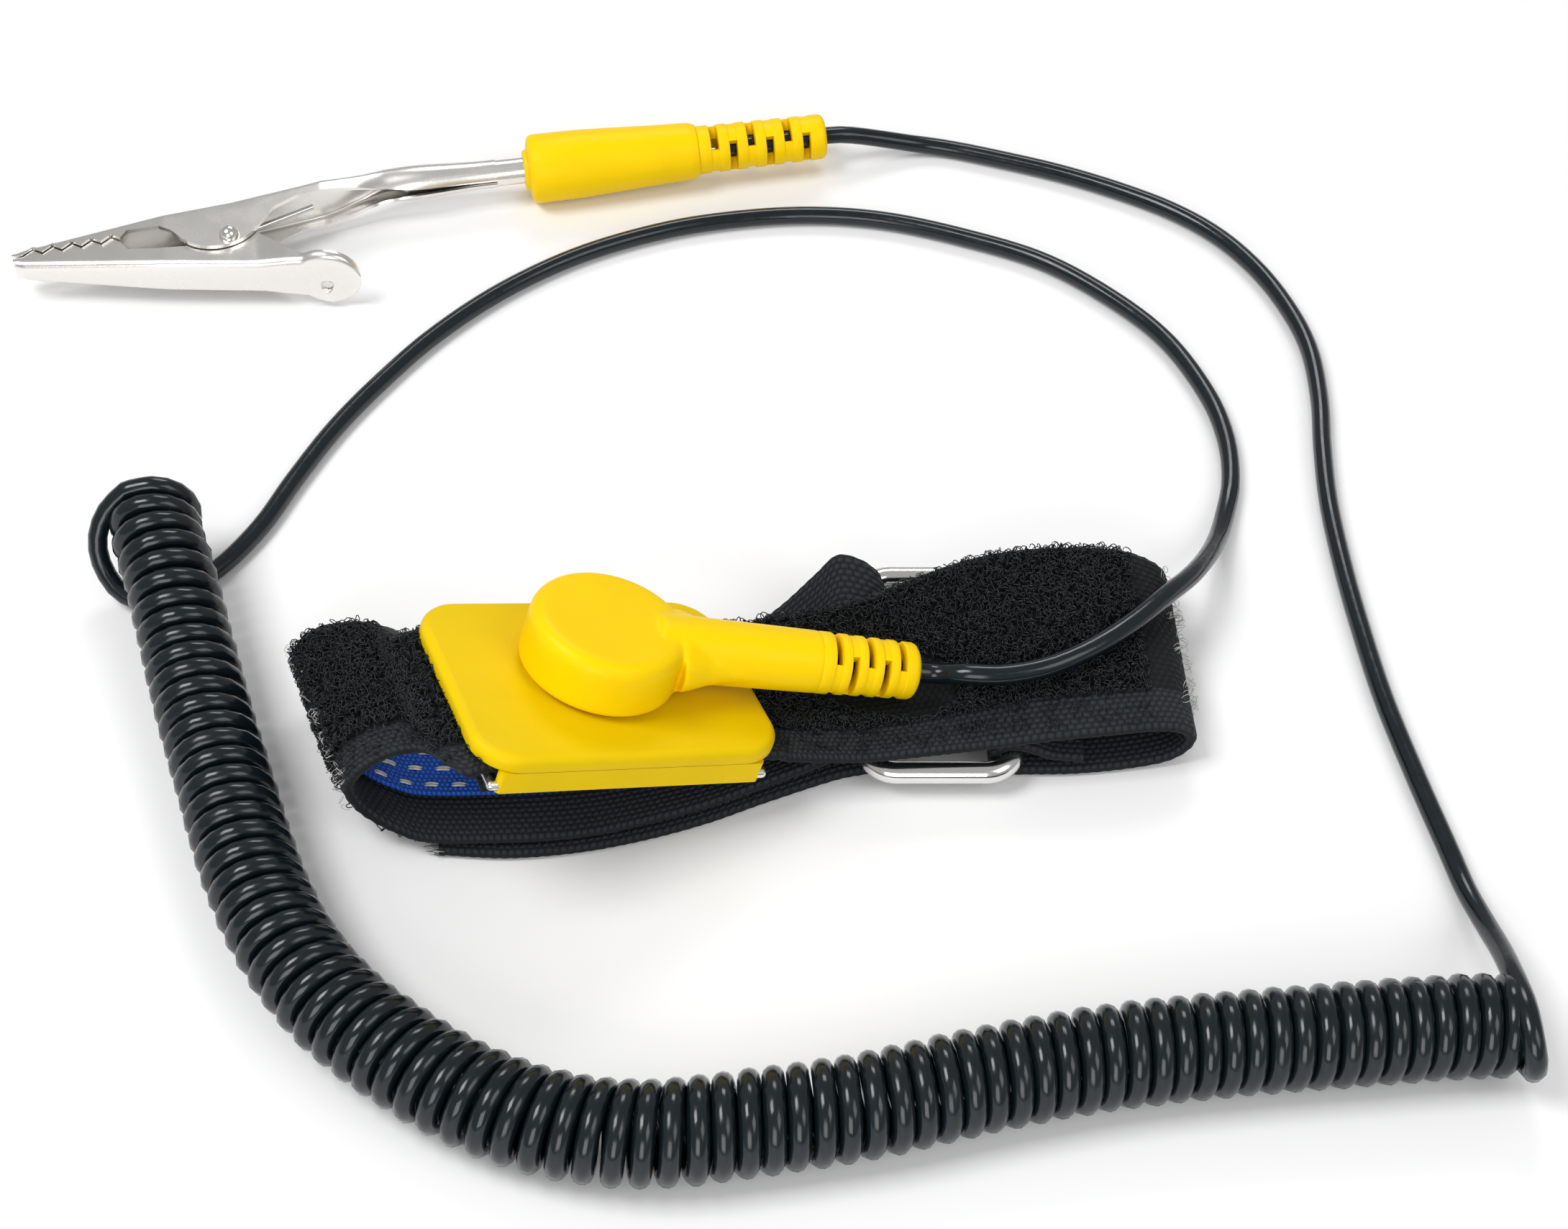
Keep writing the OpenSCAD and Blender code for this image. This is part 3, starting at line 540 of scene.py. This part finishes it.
def tubes_mesh(name, lines, radius, mat, sides=3):
    """Many thin fibres as one mesh."""
    verts, faces = [], []
    ring = [(math.cos(2 * math.pi * k / sides), math.sin(2 * math.pi * k / sides)) for k in range(sides)]
    for line in lines:
        base = len(verts)
        for i, p in enumerate(line):
            t = (line[min(i + 1, len(line) - 1)] - line[max(i - 1, 0)]).normalized()
            a = t.orthogonal().normalized() if abs(t.z) > 0.95 else t.cross(Vector((0, 0, 1))).normalized()
            b = t.cross(a)
            r = radius * (0.6 if i in (0, len(line) - 1) else 1)
            verts += [p + r * (x * a + y * b) for x, y in ring]
        for i in range(len(line) - 1):
            q = base + i * sides
            faces += [(q + k, q + (k + 1) % sides, q + sides + (k + 1) % sides, q + sides + k)
                      for k in range(sides)]
        faces += [tuple(base + k for k in range(sides - 1, -1, -1)),
                  tuple(base + (len(line) - 1) * sides + k for k in range(sides))]
    me = bpy.data.meshes.new(name)
    me.from_pydata([TO_ROW @ v for v in verts], [], faces)
    for poly in me.polygons:
        poly.use_smooth = True
    me.materials.append(mat)
    ob = bpy.data.objects.new(name, me)
    bpy.context.scene.collection.objects.link(ob)
    return ob


STEPS = 6
left_lines = cross_lines(left_front, left_rear, LEFT_DIPS, STEPS)
right_lines = cross_lines(right_front, right_rear, RIGHT_DIPS, STEPS)
left, right = Band(left_lines, 2 * STEPS), Band(right_lines)
FRONT_EDGE, REAR_EDGE = 0.20, 0.95


def web_shape(pile_side):
    def shape(s, v, side):
        if side == pile_side and FRONT_EDGE < v < REAR_EDGE:
            return 0.05 * (1 if side else -1) * math.sin(s * 2.1 + 3 * math.sin(v * 17)) * math.sin(v * 41)
        rib = math.sin(2 * math.pi * s / 1.15) * 0.5 + 0.5
        edge = min(v, 1 - v) * STRAP_W
        return (0.10 if edge < 1.6 else 0.045) * (1 if side else -1) * (rib - 0.5)
    return shape


def web_index(pile_side):
    return lambda s, v, side: 1 if side == pile_side and FRONT_EDGE < v < REAR_EDGE else 0


T = STRAP_T / 2
FACE = T * 0.94
left_web = strip_mesh("left_webbing", left, 0, 1, -FACE, FACE, ((WEB, WEB_PILE), web_index(0)), 0.29, 26,
                      web_shape(0))
right_web = strip_mesh("right_webbing", right, 0, 1, -FACE, FACE, ((WEB, WEB_PILE), web_index(1)), 0.29, 26,
                       web_shape(1))

LINER = Band(left_lines, int(9.5 * STEPS), 20 * STEPS + 1)
LINER_V = (0.23, 0.77)
liner = strip_mesh("lining", LINER, *LINER_V, T + 0.1, T + 0.6, (BLUE,), 0.3, 14,
                   lambda s, v, side: 0.03 * math.sin(2 * math.pi * s / 0.9) * (1 if side else -1), 0.4)
HOOK = Band(left_lines, 31 * STEPS, int(34.5 * STEPS) + 1)
HOOK_V = (0.06, 0.94)
hook_patch = strip_mesh("hook_tape", HOOK, *HOOK_V, -T - 0.35, -T - 0.05, (WEB,), 0.6, 20, None, 0.3)


def near_arm(p):
    """True under the snap connector's arm, where the pile lies flat."""
    x = min(max((p - arm_end).dot(arm_dir), -26), 0.5)
    return (p - arm_end - x * arm_dir).length < 4.9


def pile(name, band, sign, s_from, s_to, count, v_from, v_to, skip=None):
    """Curly loops standing on one face of a band."""
    lines = []
    for _ in range(count):
        s, v = rng.uniform(s_from, s_to), rng.uniform(v_from, v_to)
        if skip and skip(s, v):
            continue
        p, n, t = band.place(s, v, sign * T * 0.85)
        if near_arm(p):
            continue
        n = n * sign
        w = n.cross(t)
        a = rng.uniform(0, 2 * math.pi)
        d = math.cos(a) * t + math.sin(a) * w
        e = n.cross(d)
        size, tall = rng.uniform(0.28, 0.5), rng.uniform(0.45, 0.95)
        lean, twist = rng.uniform(-0.35, 0.35), rng.uniform(-0.4, 0.4)
        line = []
        for k in range(7):
            q = math.pi * (k / 6 * 1.5 - 0.25)
            up = tall * 0.5 * (1 + math.sin(q)) - 0.12 * (k in (0, 6))
            line.append(p + d * (-math.cos(q) * size) + n * up
                        + e * (lean * math.sin(q) + twist * (k / 6 - 0.5)))
        lines.append(line)
    return tubes_mesh(name, lines, 0.062, PILE)


many = 1
left_pile = pile("left_pile", left, -1, 1, left.length * 0.54, int(13000 * many), 0.03, 0.97,
                 lambda s, v: v < FRONT_EDGE and rng.random() < 0.93)
right_pile = pile("right_pile", right, 1, 3, right.length * 0.56, int(11500 * many), 0.03, 0.99,
                  lambda s, v: v < FRONT_EDGE and rng.random() < 0.93)
low_pile = pile("free_end_pile", left, -1, left.length * 0.68, left.length - 0.3, int(2500 * many),
                0.05, 0.95)

# The grey threads of the lining lie in short dashes
DASH, DASH_ROWS = 1.5, 6


def dash(s, v, rise):
    """One thread that dives out of the lining's face and back."""
    return [LINER.place(s + DASH * k / 4, v, T + 0.56 + rise * math.sin(math.pi * k / 4))[0]
            for k in range(5)]


dashes = []
for r in range(DASH_ROWS):
    v = LINER_V[0] + (LINER_V[1] - LINER_V[0]) * (r + 0.5) / DASH_ROWS
    s = 0.6 + (DASH if r % 2 else 0)
    while s < LINER.length - 1.6:
        dashes += [dash(s, v, 0.14), dash(s + 0.1, v + 0.012, 0.13)]
        s += 2 * DASH
silver = tubes_mesh("silver_threads", dashes, 0.13, SILVER_YARN, 5)


def pale_loops(name, band, sign, s0, s1, count, v0=0.0, v1=1.0):
    """Pale loops of the pile that stand out past a fold."""
    lines = []
    for _ in range(count):
        p, n, t = band.place(rng.uniform(s0, s1), rng.uniform(v0, v1), sign * T)
        n = n * sign
        w, size = n.cross(t), rng.uniform(0.35, 0.8)
        a = rng.uniform(0, 2 * math.pi)
        d = math.cos(a) * t + math.sin(a) * w
        e, lean = n.cross(d), rng.uniform(-0.5, 0.5)
        lines.append([p + d * (-math.cos(q) * size * 0.6) + n * (size * (0.6 + 0.7 * math.sin(q)))
                      + e * lean * math.sin(q) for q in (math.pi * (k / 7 * 1.6 - 0.3) for k in range(8))])
    return tubes_mesh(name, lines, 0.036, WHITE_FIBRE)


def tufts(name, band, s0, v_list, mat, count, reach, spread):
    """Threads that stick out of a band's cut end, in bunches at the shares v_list of its width."""
    lines = []
    for _ in range(count):
        v = rng.choice(v_list) + rng.gauss(0, spread)
        p, n, t = band.place(s0, min(max(v, 0), 1), rng.uniform(-T, T) * 0.7)
        size = reach * rng.uniform(0.4, 1)
        b1 = Vector((rng.gauss(0, 0.4), rng.gauss(0, 0.4), rng.gauss(0, 0.25)))
        line = [p - t * 0.5, p + t * size * 0.35 + b1 * size * 0.1, p + t * size * 0.7 + b1 * size * 0.45,
                p + t * size * 0.9 + b1 * size]
        lines.append([Vector((q.x, q.y, max(q.z, 0.1))) for q in line])
    return tubes_mesh(name, lines, 0.05, mat)


cut_end = left.length - 0.1
free_tuft = tufts("free_end_fray", left, cut_end, [0.1, 0.35, 0.6, 0.9], WHITE_FIBRE, 60, 1.9, 0.1)
free_tuft_dark = tufts("free_end_fray_dark", left, cut_end, [0.2, 0.5, 0.8], BLACK_YARN, 90, 1.2, 0.2)

left_at = [left.at[STEPS * k] for k in range(len(left_front) - 2)]
right_at = [right.at[STEPS * k] for k in range(len(right_front))]
left_fold = pale_loops("left_fold_loops", left, -1, left_at[9] + 0.6, left_at[11], 85)
right_fold = pale_loops("right_fold_loops", right, 1, right_at[13], right_at[15], 85, 0.15)
plate_fray = pale_loops("plate_fray", left, -1, 1.5, 4.5, 40, 0.88, 0.99)

# ---------------------------------------------------------------- mouldings


def rounded_plate(w, l, h, r, e, z0, steps=8, bottom=0.25):
    """A plate with rounded corners, a round top edge and a slightly eased bottom edge."""
    loops = [(bottom, 0), (bottom * 0.3, bottom * 0.3), (0, bottom)]
    loops += [(e * (1 - math.cos(math.pi / 2 * k / steps)), h - e + e * math.sin(math.pi / 2 * k / steps))
              for k in range(steps + 1)]
    bm = bmesh.new()
    rings = []
    for inset, z in loops:
        ring = []
        for cx, cy, a0 in ((1, 1, 0), (-1, 1, 90), (-1, -1, 180), (1, -1, 270)):
            for k in range(13):
                a = math.radians(a0 + 90 * k / 12)
                rr = max(r - inset, 0.05)
                x, y = cx * (w / 2 - r) + rr * math.cos(a), cy * (l / 2 - r) + rr * math.sin(a)
                ring.append(bm.verts.new((x, y, z0 + z)))
        rings.append(ring)
    for a, b in zip(rings, rings[1:]):
        for i in range(len(a)):
            j = (i + 1) % len(a)
            bm.faces.new((a[i], a[j], b[j], b[i]))
    bm.faces.new(list(reversed(rings[0])))
    bm.faces.new(rings[-1])
    return bm


def shaded(ob, angle):
    """Smooth shading up to an angle, applied as data so that it's the same everywhere."""
    me = ob.data
    me.polygons.foreach_set("use_smooth", [True] * len(me.polygons))
    me.set_sharp_from_angle(angle=math.radians(angle))
    return ob


cover_mesh = rounded_plate(COVER_L, COVER_W, COVER_T, 4.4, 0.85, -COVER_T)
cover = shaded(place(to_object("buckle_top", cover_mesh, YELLOW), ON_BUCKLE), 50)


def ring_profile(r_in, r_out, x0, x1, e=0.16):
    """Closed (radius, height) outline of one ring with eased edges."""
    return [(r_in, x0 + e * 0.4), (r_in + e * 0.5, x0), (r_out - e, x0), (r_out - e * 0.3, x0 + e * 0.3),
            (r_out, x0 + e), (r_out, x1 - e), (r_out - e * 0.3, x1 - e * 0.3), (r_out - e, x1),
            (r_in + e * 0.5, x1), (r_in, x1 - e * 0.4)]


def turned(bm, profile, a0=0.0, a1=2 * math.pi, segments=64):
    """Adds a closed outline turned round X to bm; a part turn gets end faces."""
    whole = a1 - a0 > 2 * math.pi - 1e-6
    n = segments if whole else segments + 1
    angles = [a0 + (a1 - a0) * i / segments for i in range(n)]
    rings = [[bm.verts.new((x, r * math.cos(angle), r * math.sin(angle))) for r, x in profile]
             for angle in angles]
    for i in range(n if whole else n - 1):
        a, b = rings[i], rings[(i + 1) % n]
        for k in range(len(profile)):
            j = (k + 1) % len(profile)
            bm.faces.new((a[k], a[j], b[j], b[k]))
    if not whole:
        bm.faces.new(rings[0])
        bm.faces.new(list(reversed(rings[-1])))


def relief_mesh(length, r_in, r_out, gaps, bore=1.2):
    """Rings along +X joined by pairs of bridges that turn a quarter from gap to gap."""
    bm = bmesh.new()
    step = length / (gaps + 1)
    gap = step * 0.42

    def radius(x):
        return r_in + (r_out - r_in) * min(max(x / length, 0), 1)

    for i in range(gaps + 1):
        x0 = i * step + (gap / 2 - 0.25 if i else -0.3)
        x1 = (i + 1) * step - (gap / 2 + 0.25 if i < gaps else 0)
        r = radius((x0 + x1) / 2)
        if i == gaps:
            turned(bm, [(bore, x0 + 0.1), (bore + 0.1, x0), (r - 0.15, x0), (r, x0 + 0.15), (r, x1 - 0.6),
                        (r - 0.15, x1 - 0.25), (r - 0.5, x1), (bore + 0.15, x1), (bore, x1 - 0.15)])
        else:
            turned(bm, ring_profile(bore, r, x0, x1))
        if i < gaps:
            b0, b1 = x1 - 0.12, x1 + gap + 0.12
            for k in range(2):
                mid = math.pi * k + (math.pi / 2 if i % 2 else 0)
                bridge = [(bore + 0.05, b0), (r - 0.12, b0), (r - 0.12, b1), (bore + 0.05, b1)]
                turned(bm, bridge, mid - 0.62, mid + 0.62, 12)
    return bm


barrel = ARM_L - RELIEF_L - 4
HEAD_FOOT, HEAD_ROUND = 0.5, 1.35


def applied(ob):
    """Puts the result of ob's modifiers into its mesh."""
    bpy.context.view_layer.update()
    mesh = bpy.data.meshes.new_from_object(ob.evaluated_get(bpy.context.evaluated_depsgraph_get()))
    ob.modifiers.clear()
    ob.data = mesh
    return ob


def arm_piece(profile, shift):
    """A mesh turned round the arm's axis, in the head's own frame."""
    part = bmesh.new()
    turned(part, profile)
    bmesh.ops.remove_doubles(part, verts=part.verts, dist=0.01)
    bmesh.ops.transform(part, matrix=shift, verts=part.verts)
    bmesh.ops.transform(part, matrix=ON_ARM.inverted() @ ON_PITCH, verts=part.verts)
    mesh = bpy.data.meshes.new("arm_piece")
    part.to_mesh(mesh)
    part.free()
    return mesh


def snap_connector():
    """The head, the arm and its wider root, melted together so that a fillet joins them. The head is drawn
    solid, without the pocket for the metal socket."""
    edge, top = HEAD_D / 2, HEAD_FOOT + HEAD_H
    rounding = [(edge - HEAD_ROUND * (1 - math.cos(a)), top - HEAD_ROUND * (1 - math.sin(a)))
                for a in (math.pi / 2 * k / 8 for k in range(9))]
    foot = [(0, HEAD_FOOT), (edge - 0.5, HEAD_FOOT), (edge - 0.15, 0.65), (edge, 1.0)]
    bm = revolve(foot + rounding + [(0, top)])
    bmesh.ops.recalc_face_normals(bm, faces=bm.faces)
    root = [(0.001, 0), (5.3, 0), (4.9, 1), (4.1, 2.8), (3.55, 4.8), (3.25, 7.5), (3.1, 9), (0.001, 9)]
    arm = [(0.001, 1.0), (3.3, 1.0), (3.28, 5), (3.12, barrel - 1), (3.1, barrel - 0.2), (3.0, barrel),
           (0.001, barrel)]
    bm.from_mesh(arm_piece(root, Matrix.Translation((3.2, 0, -0.25)) @ Matrix.Diagonal((1, 1, 0.6, 1))))
    bm.from_mesh(arm_piece(arm, Matrix()))
    ob = to_object("snap_body", bm, YELLOW_PLUG)
    melt = ob.modifiers.new("melt", "REMESH")
    melt.mode, melt.voxel_size, melt.use_smooth_shade = "VOXEL", 0.17, True
    soft = ob.modifiers.new("soft", "SMOOTH")
    soft.factor, soft.iterations = 0.5, 24
    applied(ob)
    if not ob.data.materials:
        ob.data.materials.append(YELLOW_PLUG)
    return place(ob, ON_ARM)


snap_body = snap_connector()
snap_relief = shaded(place(to_object("snap_strain_relief", relief_mesh(RELIEF_L, 3.1, 2.85, 5), YELLOW_PLUG),
                           ON_PITCH @ Matrix.Translation((barrel, 0, 0))), 40)

body = HANDLE_L - HANDLE_RELIEF
bm = bmesh.new()
r = HANDLE_D / 2
turned(bm, [(1.66, 0.05), (2.2, 0), (2.4, 0.12), (2.5, 0.45), (r - 0.9, 0.6), (r - 0.45, 0.72),
            (r - 0.12, 1.0), (r, 1.5), (r - 0.02, 4), (r - 0.06, 7), (r - 0.25, 11), (r - 0.48, 15),
            (3.5, body - 1.2), (3.42, body - 0.7), (3.2, body - 0.1), (3.0, body), (1.3, body), (1.3, 1.0),
            (1.66, 0.9)], segments=96)
handle = shaded(place(to_object("plug_body", bm, YELLOW_PLUG), ON_HANDLE), 40)
plug_relief_mesh = relief_mesh(HANDLE_RELIEF, 2.95, 2.75, 6)
plug_relief = shaded(place(to_object("plug_strain_relief", plug_relief_mesh, YELLOW_PLUG),
                           ON_HANDLE @ Matrix.Translation((body, 0, 0))), 40)

# ---------------------------------------------------------------- clip


def lin(pairs):
    """A piecewise straight function through (x, y) pairs."""
    def f(x):
        if x <= pairs[0][0]:
            return pairs[0][1]
        for (x0, y0), (x1, y1) in zip(pairs, pairs[1:]):
            if x <= x1:
                return y0 + (y1 - y0) * (x - x0) / max(x1 - x0, 1e-9)
        return pairs[-1][1]
    return f


def zigzag(y0):
    out = []
    for k in range(5):
        out += [(56.5 - 2.3 * k, y0), (56.5 - 2.3 * (k + 0.5), y0 - 0.9)]
    return sorted(out)


def ease(a, b, x):
    t = min(max((x - a) / (b - a), 0), 1)
    return t * t * (3 - 2 * t)


def u_section(spine, edge, width, toward, bend=0.75):
    """Half of a U: from the middle of its back, round a bend and along one wall to its edge."""
    bend = min(bend, max(width * 0.6, 0.02), max(abs(edge - spine) * 0.8, 0.02))
    out = [(spine, (width - bend) * k / 4) for k in range(5)]
    out += [(spine + toward * bend * (1 - math.cos(a)), width - bend + bend * math.sin(a))
            for a in (math.pi / 2 * k / 5 for k in range(1, 6))]
    out += [(spine + toward * bend + (edge - spine - toward * bend) * k / 5, width) for k in range(1, 6)]
    return out


def sheet_metal(name, stations, outer, inner, mat):
    """A closed sheet between two surfaces given as half sections of (y, z) over x."""
    bm = bmesh.new()
    grids = []
    for surface in (outer, inner):
        grid = []
        for x in stations:
            half = surface(x)
            full = [(y, -z) for y, z in reversed(half[1:])] + list(half)
            grid.append([bm.verts.new((x, y, z)) for y, z in full])
        grids.append(grid)
    a, b = grids
    n, m = len(a), len(a[0])
    for i in range(n - 1):
        for k in range(m - 1):
            bm.faces.new((a[i][k], a[i][k + 1], a[i + 1][k + 1], a[i + 1][k]))
            bm.faces.new((b[i][k], b[i + 1][k], b[i + 1][k + 1], b[i][k + 1]))
        for k in (0, m - 1):
            bm.faces.new((a[i][k], a[i + 1][k], b[i + 1][k], b[i][k]))
    for i in (0, n - 1):
        for k in range(m - 1):
            bm.faces.new((a[i][k], a[i][k + 1], b[i][k + 1], b[i][k]))
    ob = to_object(name, bm, mat)
    return shaded(place(ob, ON_CLIP), 38)


GAUGE = 0.5
up_spine = lin([(0, -1.8), (13.5, -1.2), (16, -0.3), (24, 1.45), (32, 3), (56.5, 5.8), (57.8, 6.3)])
up_edge = lin([(0, 1.6), (13.5, 1.6), (24, 3.4), (26.9, 5)]
              + [(33.6 + 5.4 * math.cos(math.radians(a)), 5.5 + 5.4 * math.sin(math.radians(a)))
                 for a in range(142, 27, -6)]
              + [(39.0, 7.2), (40.4, 6.2), (44.2, 5.9), (45, 7)] + zigzag(7) + [(57.2, 7), (57.8, 6.9)])
up_width = lin([(0, 1.75), (14, 1.85), (21, 3), (40, 3), (57.8, 1.5)])


def up_section(inset):
    def f(x):
        w, spine, edge = up_width(x) - inset, up_spine(x) + inset, max(up_edge(x), up_spine(x) + inset + 0.05)
        u = u_section(spine, edge, w, 1, 0.8 if not inset else 0.45)
        radius = 1.72 + 0.45 * ease(1, 12, x) - inset * 0.62
        last = len(u) - 1
        ring = [(-radius * math.cos(a), radius * math.sin(a))
                for a in (math.radians(168 * k / last) for k in range(last + 1))]
        t = ease(8, 20, x)
        return [(r[0] + (q[0] - r[0]) * t, r[1] + (q[1] - r[1]) * t) for r, q in zip(ring, u)]
    return f


fine = sorted({round(0.5 * k, 4) for k in range(0, 79)} | {round(39 + 0.2875 * k, 4) for k in range(0, 62)}
              | {40.4, 44.2, 45.0, 57.2, 57.8} | {round(x, 4) for x, _ in zigzag(7)})
fine = [x for x in fine if x <= 57.8]
upper = sheet_metal("upper_jaw_sheet", fine, up_section(0), up_section(GAUGE), NICKEL)

low_spine = lin([(17.5, 16.35), (21.4, 15.9), (24, 15.2), (41, 12), (56.5, 8.6), (57.6, 8.1)])
low_edge = lin([(17.5, 15.4), (21.4, 14.9), (23.6, 14.2), (25.5, 12.6)]
               + [(32.2 + 3.2 * math.cos(math.radians(a)), 9.2 + 3.2 * math.sin(math.radians(a)))
                  for a in range(190, 376, 10)]
               + [(40.6, 9.3), (44.2, 8.6), (45, 7.2)] + zigzag(7.18) + [(57.2, 7.2), (57.6, 7.4)])
low_web = lin([(22.5, 3.1), (26, 2.85), (29, 2.42), (40, 2.3), (57.6, 1.35)])


def low_width(x):
    pad = math.sqrt(max(3.9 ** 2 - (x - 21.4) ** 2, 0.0001))
    return pad if x < 22.4 else max(low_web(x), pad if x < 25.3 else 0)


def low_section(inset):
    def f(x):
        w = max(low_width(x) - inset, 0.01)
        spine = low_spine(x) - inset
        edge = min(low_edge(x), spine - 0.05)
        return u_section(spine, edge, w, -1, 0.85 if not inset else 0.5)
    return f


ends = [21.4 - 3.86 * math.cos(math.pi / 2 * k / 14) for k in range(15)]
more = sorted({round(x, 4) for x in ends} | {round(21.6 + 0.3 * k, 4) for k in range(0, 78)}
              | {x for x in fine if 44 < x <= 57.2} | {40.6, 44.2, 45.0, 57.2, 57.6})
more = [x for k, x in enumerate(more) if x <= 57.6 and (k == 0 or x - more[k - 1] > 0.02)]
lower = sheet_metal("lower_jaw_sheet", more, low_section(0), low_section(GAUGE), NICKEL)
drill = to_object("drill", revolve([(0, -3), (0.7, -3), (0.7, 3), (0, 3)], 32), NICKEL)
place(drill, ON_CLIP @ Matrix.Translation((21.6, 15.6, -0.9)) @ Matrix.Rotation(math.pi / 2, 4, "X"))
cut = lower.modifiers.new("cut", "BOOLEAN")
cut.operation, cut.object, cut.solver = "DIFFERENCE", drill, "EXACT"
applied(lower)
bpy.data.objects.remove(drill)

# ---------------------------------------------------------------- CAD nodes that keep their shape

FINISH = {"buckle_base": YELLOW, "contact_plate": STEEL, "snap_stud": NICKEL, "stud_rivet": NICKEL,
          "bar_left": NICKEL, "bar_right": NICKEL, "slide_ring": BRIGHT, "snap_socket": NICKEL,
          "socket_spring": STEEL, "resistor": plastic("lacquer", (0.52, 0.36, 0.18), 0.3),
          "resistor_wires": NICKEL, "plug_pin": NICKEL, "jaw_rivet": BRIGHT, "jaw_spring": STEEL}
for node, finish in FINISH.items():
    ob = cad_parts[node]
    if not ob.data.materials:
        ob.data.materials.append(None)
    for slot in ob.material_slots:
        slot.link = "OBJECT"
        slot.material = finish

# ---------------------------------------------------------------- stage

floor_mat, nodes, links, shader = material("floor")
set_values(shader, color=(0.86, 0.86, 0.86), rough=0.6)
links.new(ramp(nodes, links, noise(nodes, links, 3, 4), 0.3, 0.7, (0.84, 0.84, 0.845), (0.88, 0.88, 0.88)),
          shader.inputs["Base Color"])
bm = bmesh.new()
bmesh.ops.create_grid(bm, x_segments=4, y_segments=4, size=2)
floor = to_object("floor", bm, floor_mat)
floor.location = (0, 0, -0.0001)


def area(name, where, size, power, size_y=None):
    """An area light that looks at the origin."""
    data = bpy.data.lights.new(name, "AREA")
    data.shape, data.size, data.size_y, data.energy = "RECTANGLE", size, size_y or size, power
    ob = bpy.data.objects.new(name, data)
    bpy.context.scene.collection.objects.link(ob)
    ob.location = where
    ob.rotation_euler = (-Vector(where)).to_track_quat("-Z", "Y").to_euler()


area("key", (-0.32, -0.05, 0.6), 0.28, 2.6)
area("fill", (0.42, -0.3, 0.5), 0.35, 1.1)
area("front", (-0.1, -0.65, 0.3), 0.4, 2.0)
area("back", (0.05, 0.55, 0.5), 0.3, 1.15, size_y=0.2)
world = bpy.data.worlds.new("world")
bpy.context.scene.world = world
world.use_nodes = True
background = next(n for n in world.node_tree.nodes if n.type == "BACKGROUND")
background.inputs["Color"].default_value = (1, 1, 1, 1)
background.inputs["Strength"].default_value = 0.42

# ---------------------------------------------------------------- what rides on what

for ob in (cord, left_web, right_web, liner, hook_patch, left_pile, right_pile, low_pile, silver, free_tuft,
           free_tuft_dark, left_fold, right_fold, plate_fray, cover, handle, plug_relief):
    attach(ob, "wristband")
for ob in (snap_body, snap_relief, cord_core):
    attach(ob, "connector")
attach(upper, "clip")
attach(lower, "lower_jaw")
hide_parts("upper_jaw")
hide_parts("lower_jaw")
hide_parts("snap_lead", "coil", "clip_lead")
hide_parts("left_band")
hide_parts("right_band")
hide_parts("liner")
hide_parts("hook_patch")
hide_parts("buckle_cover")
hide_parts("snap_housing")
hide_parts("plug_handle")
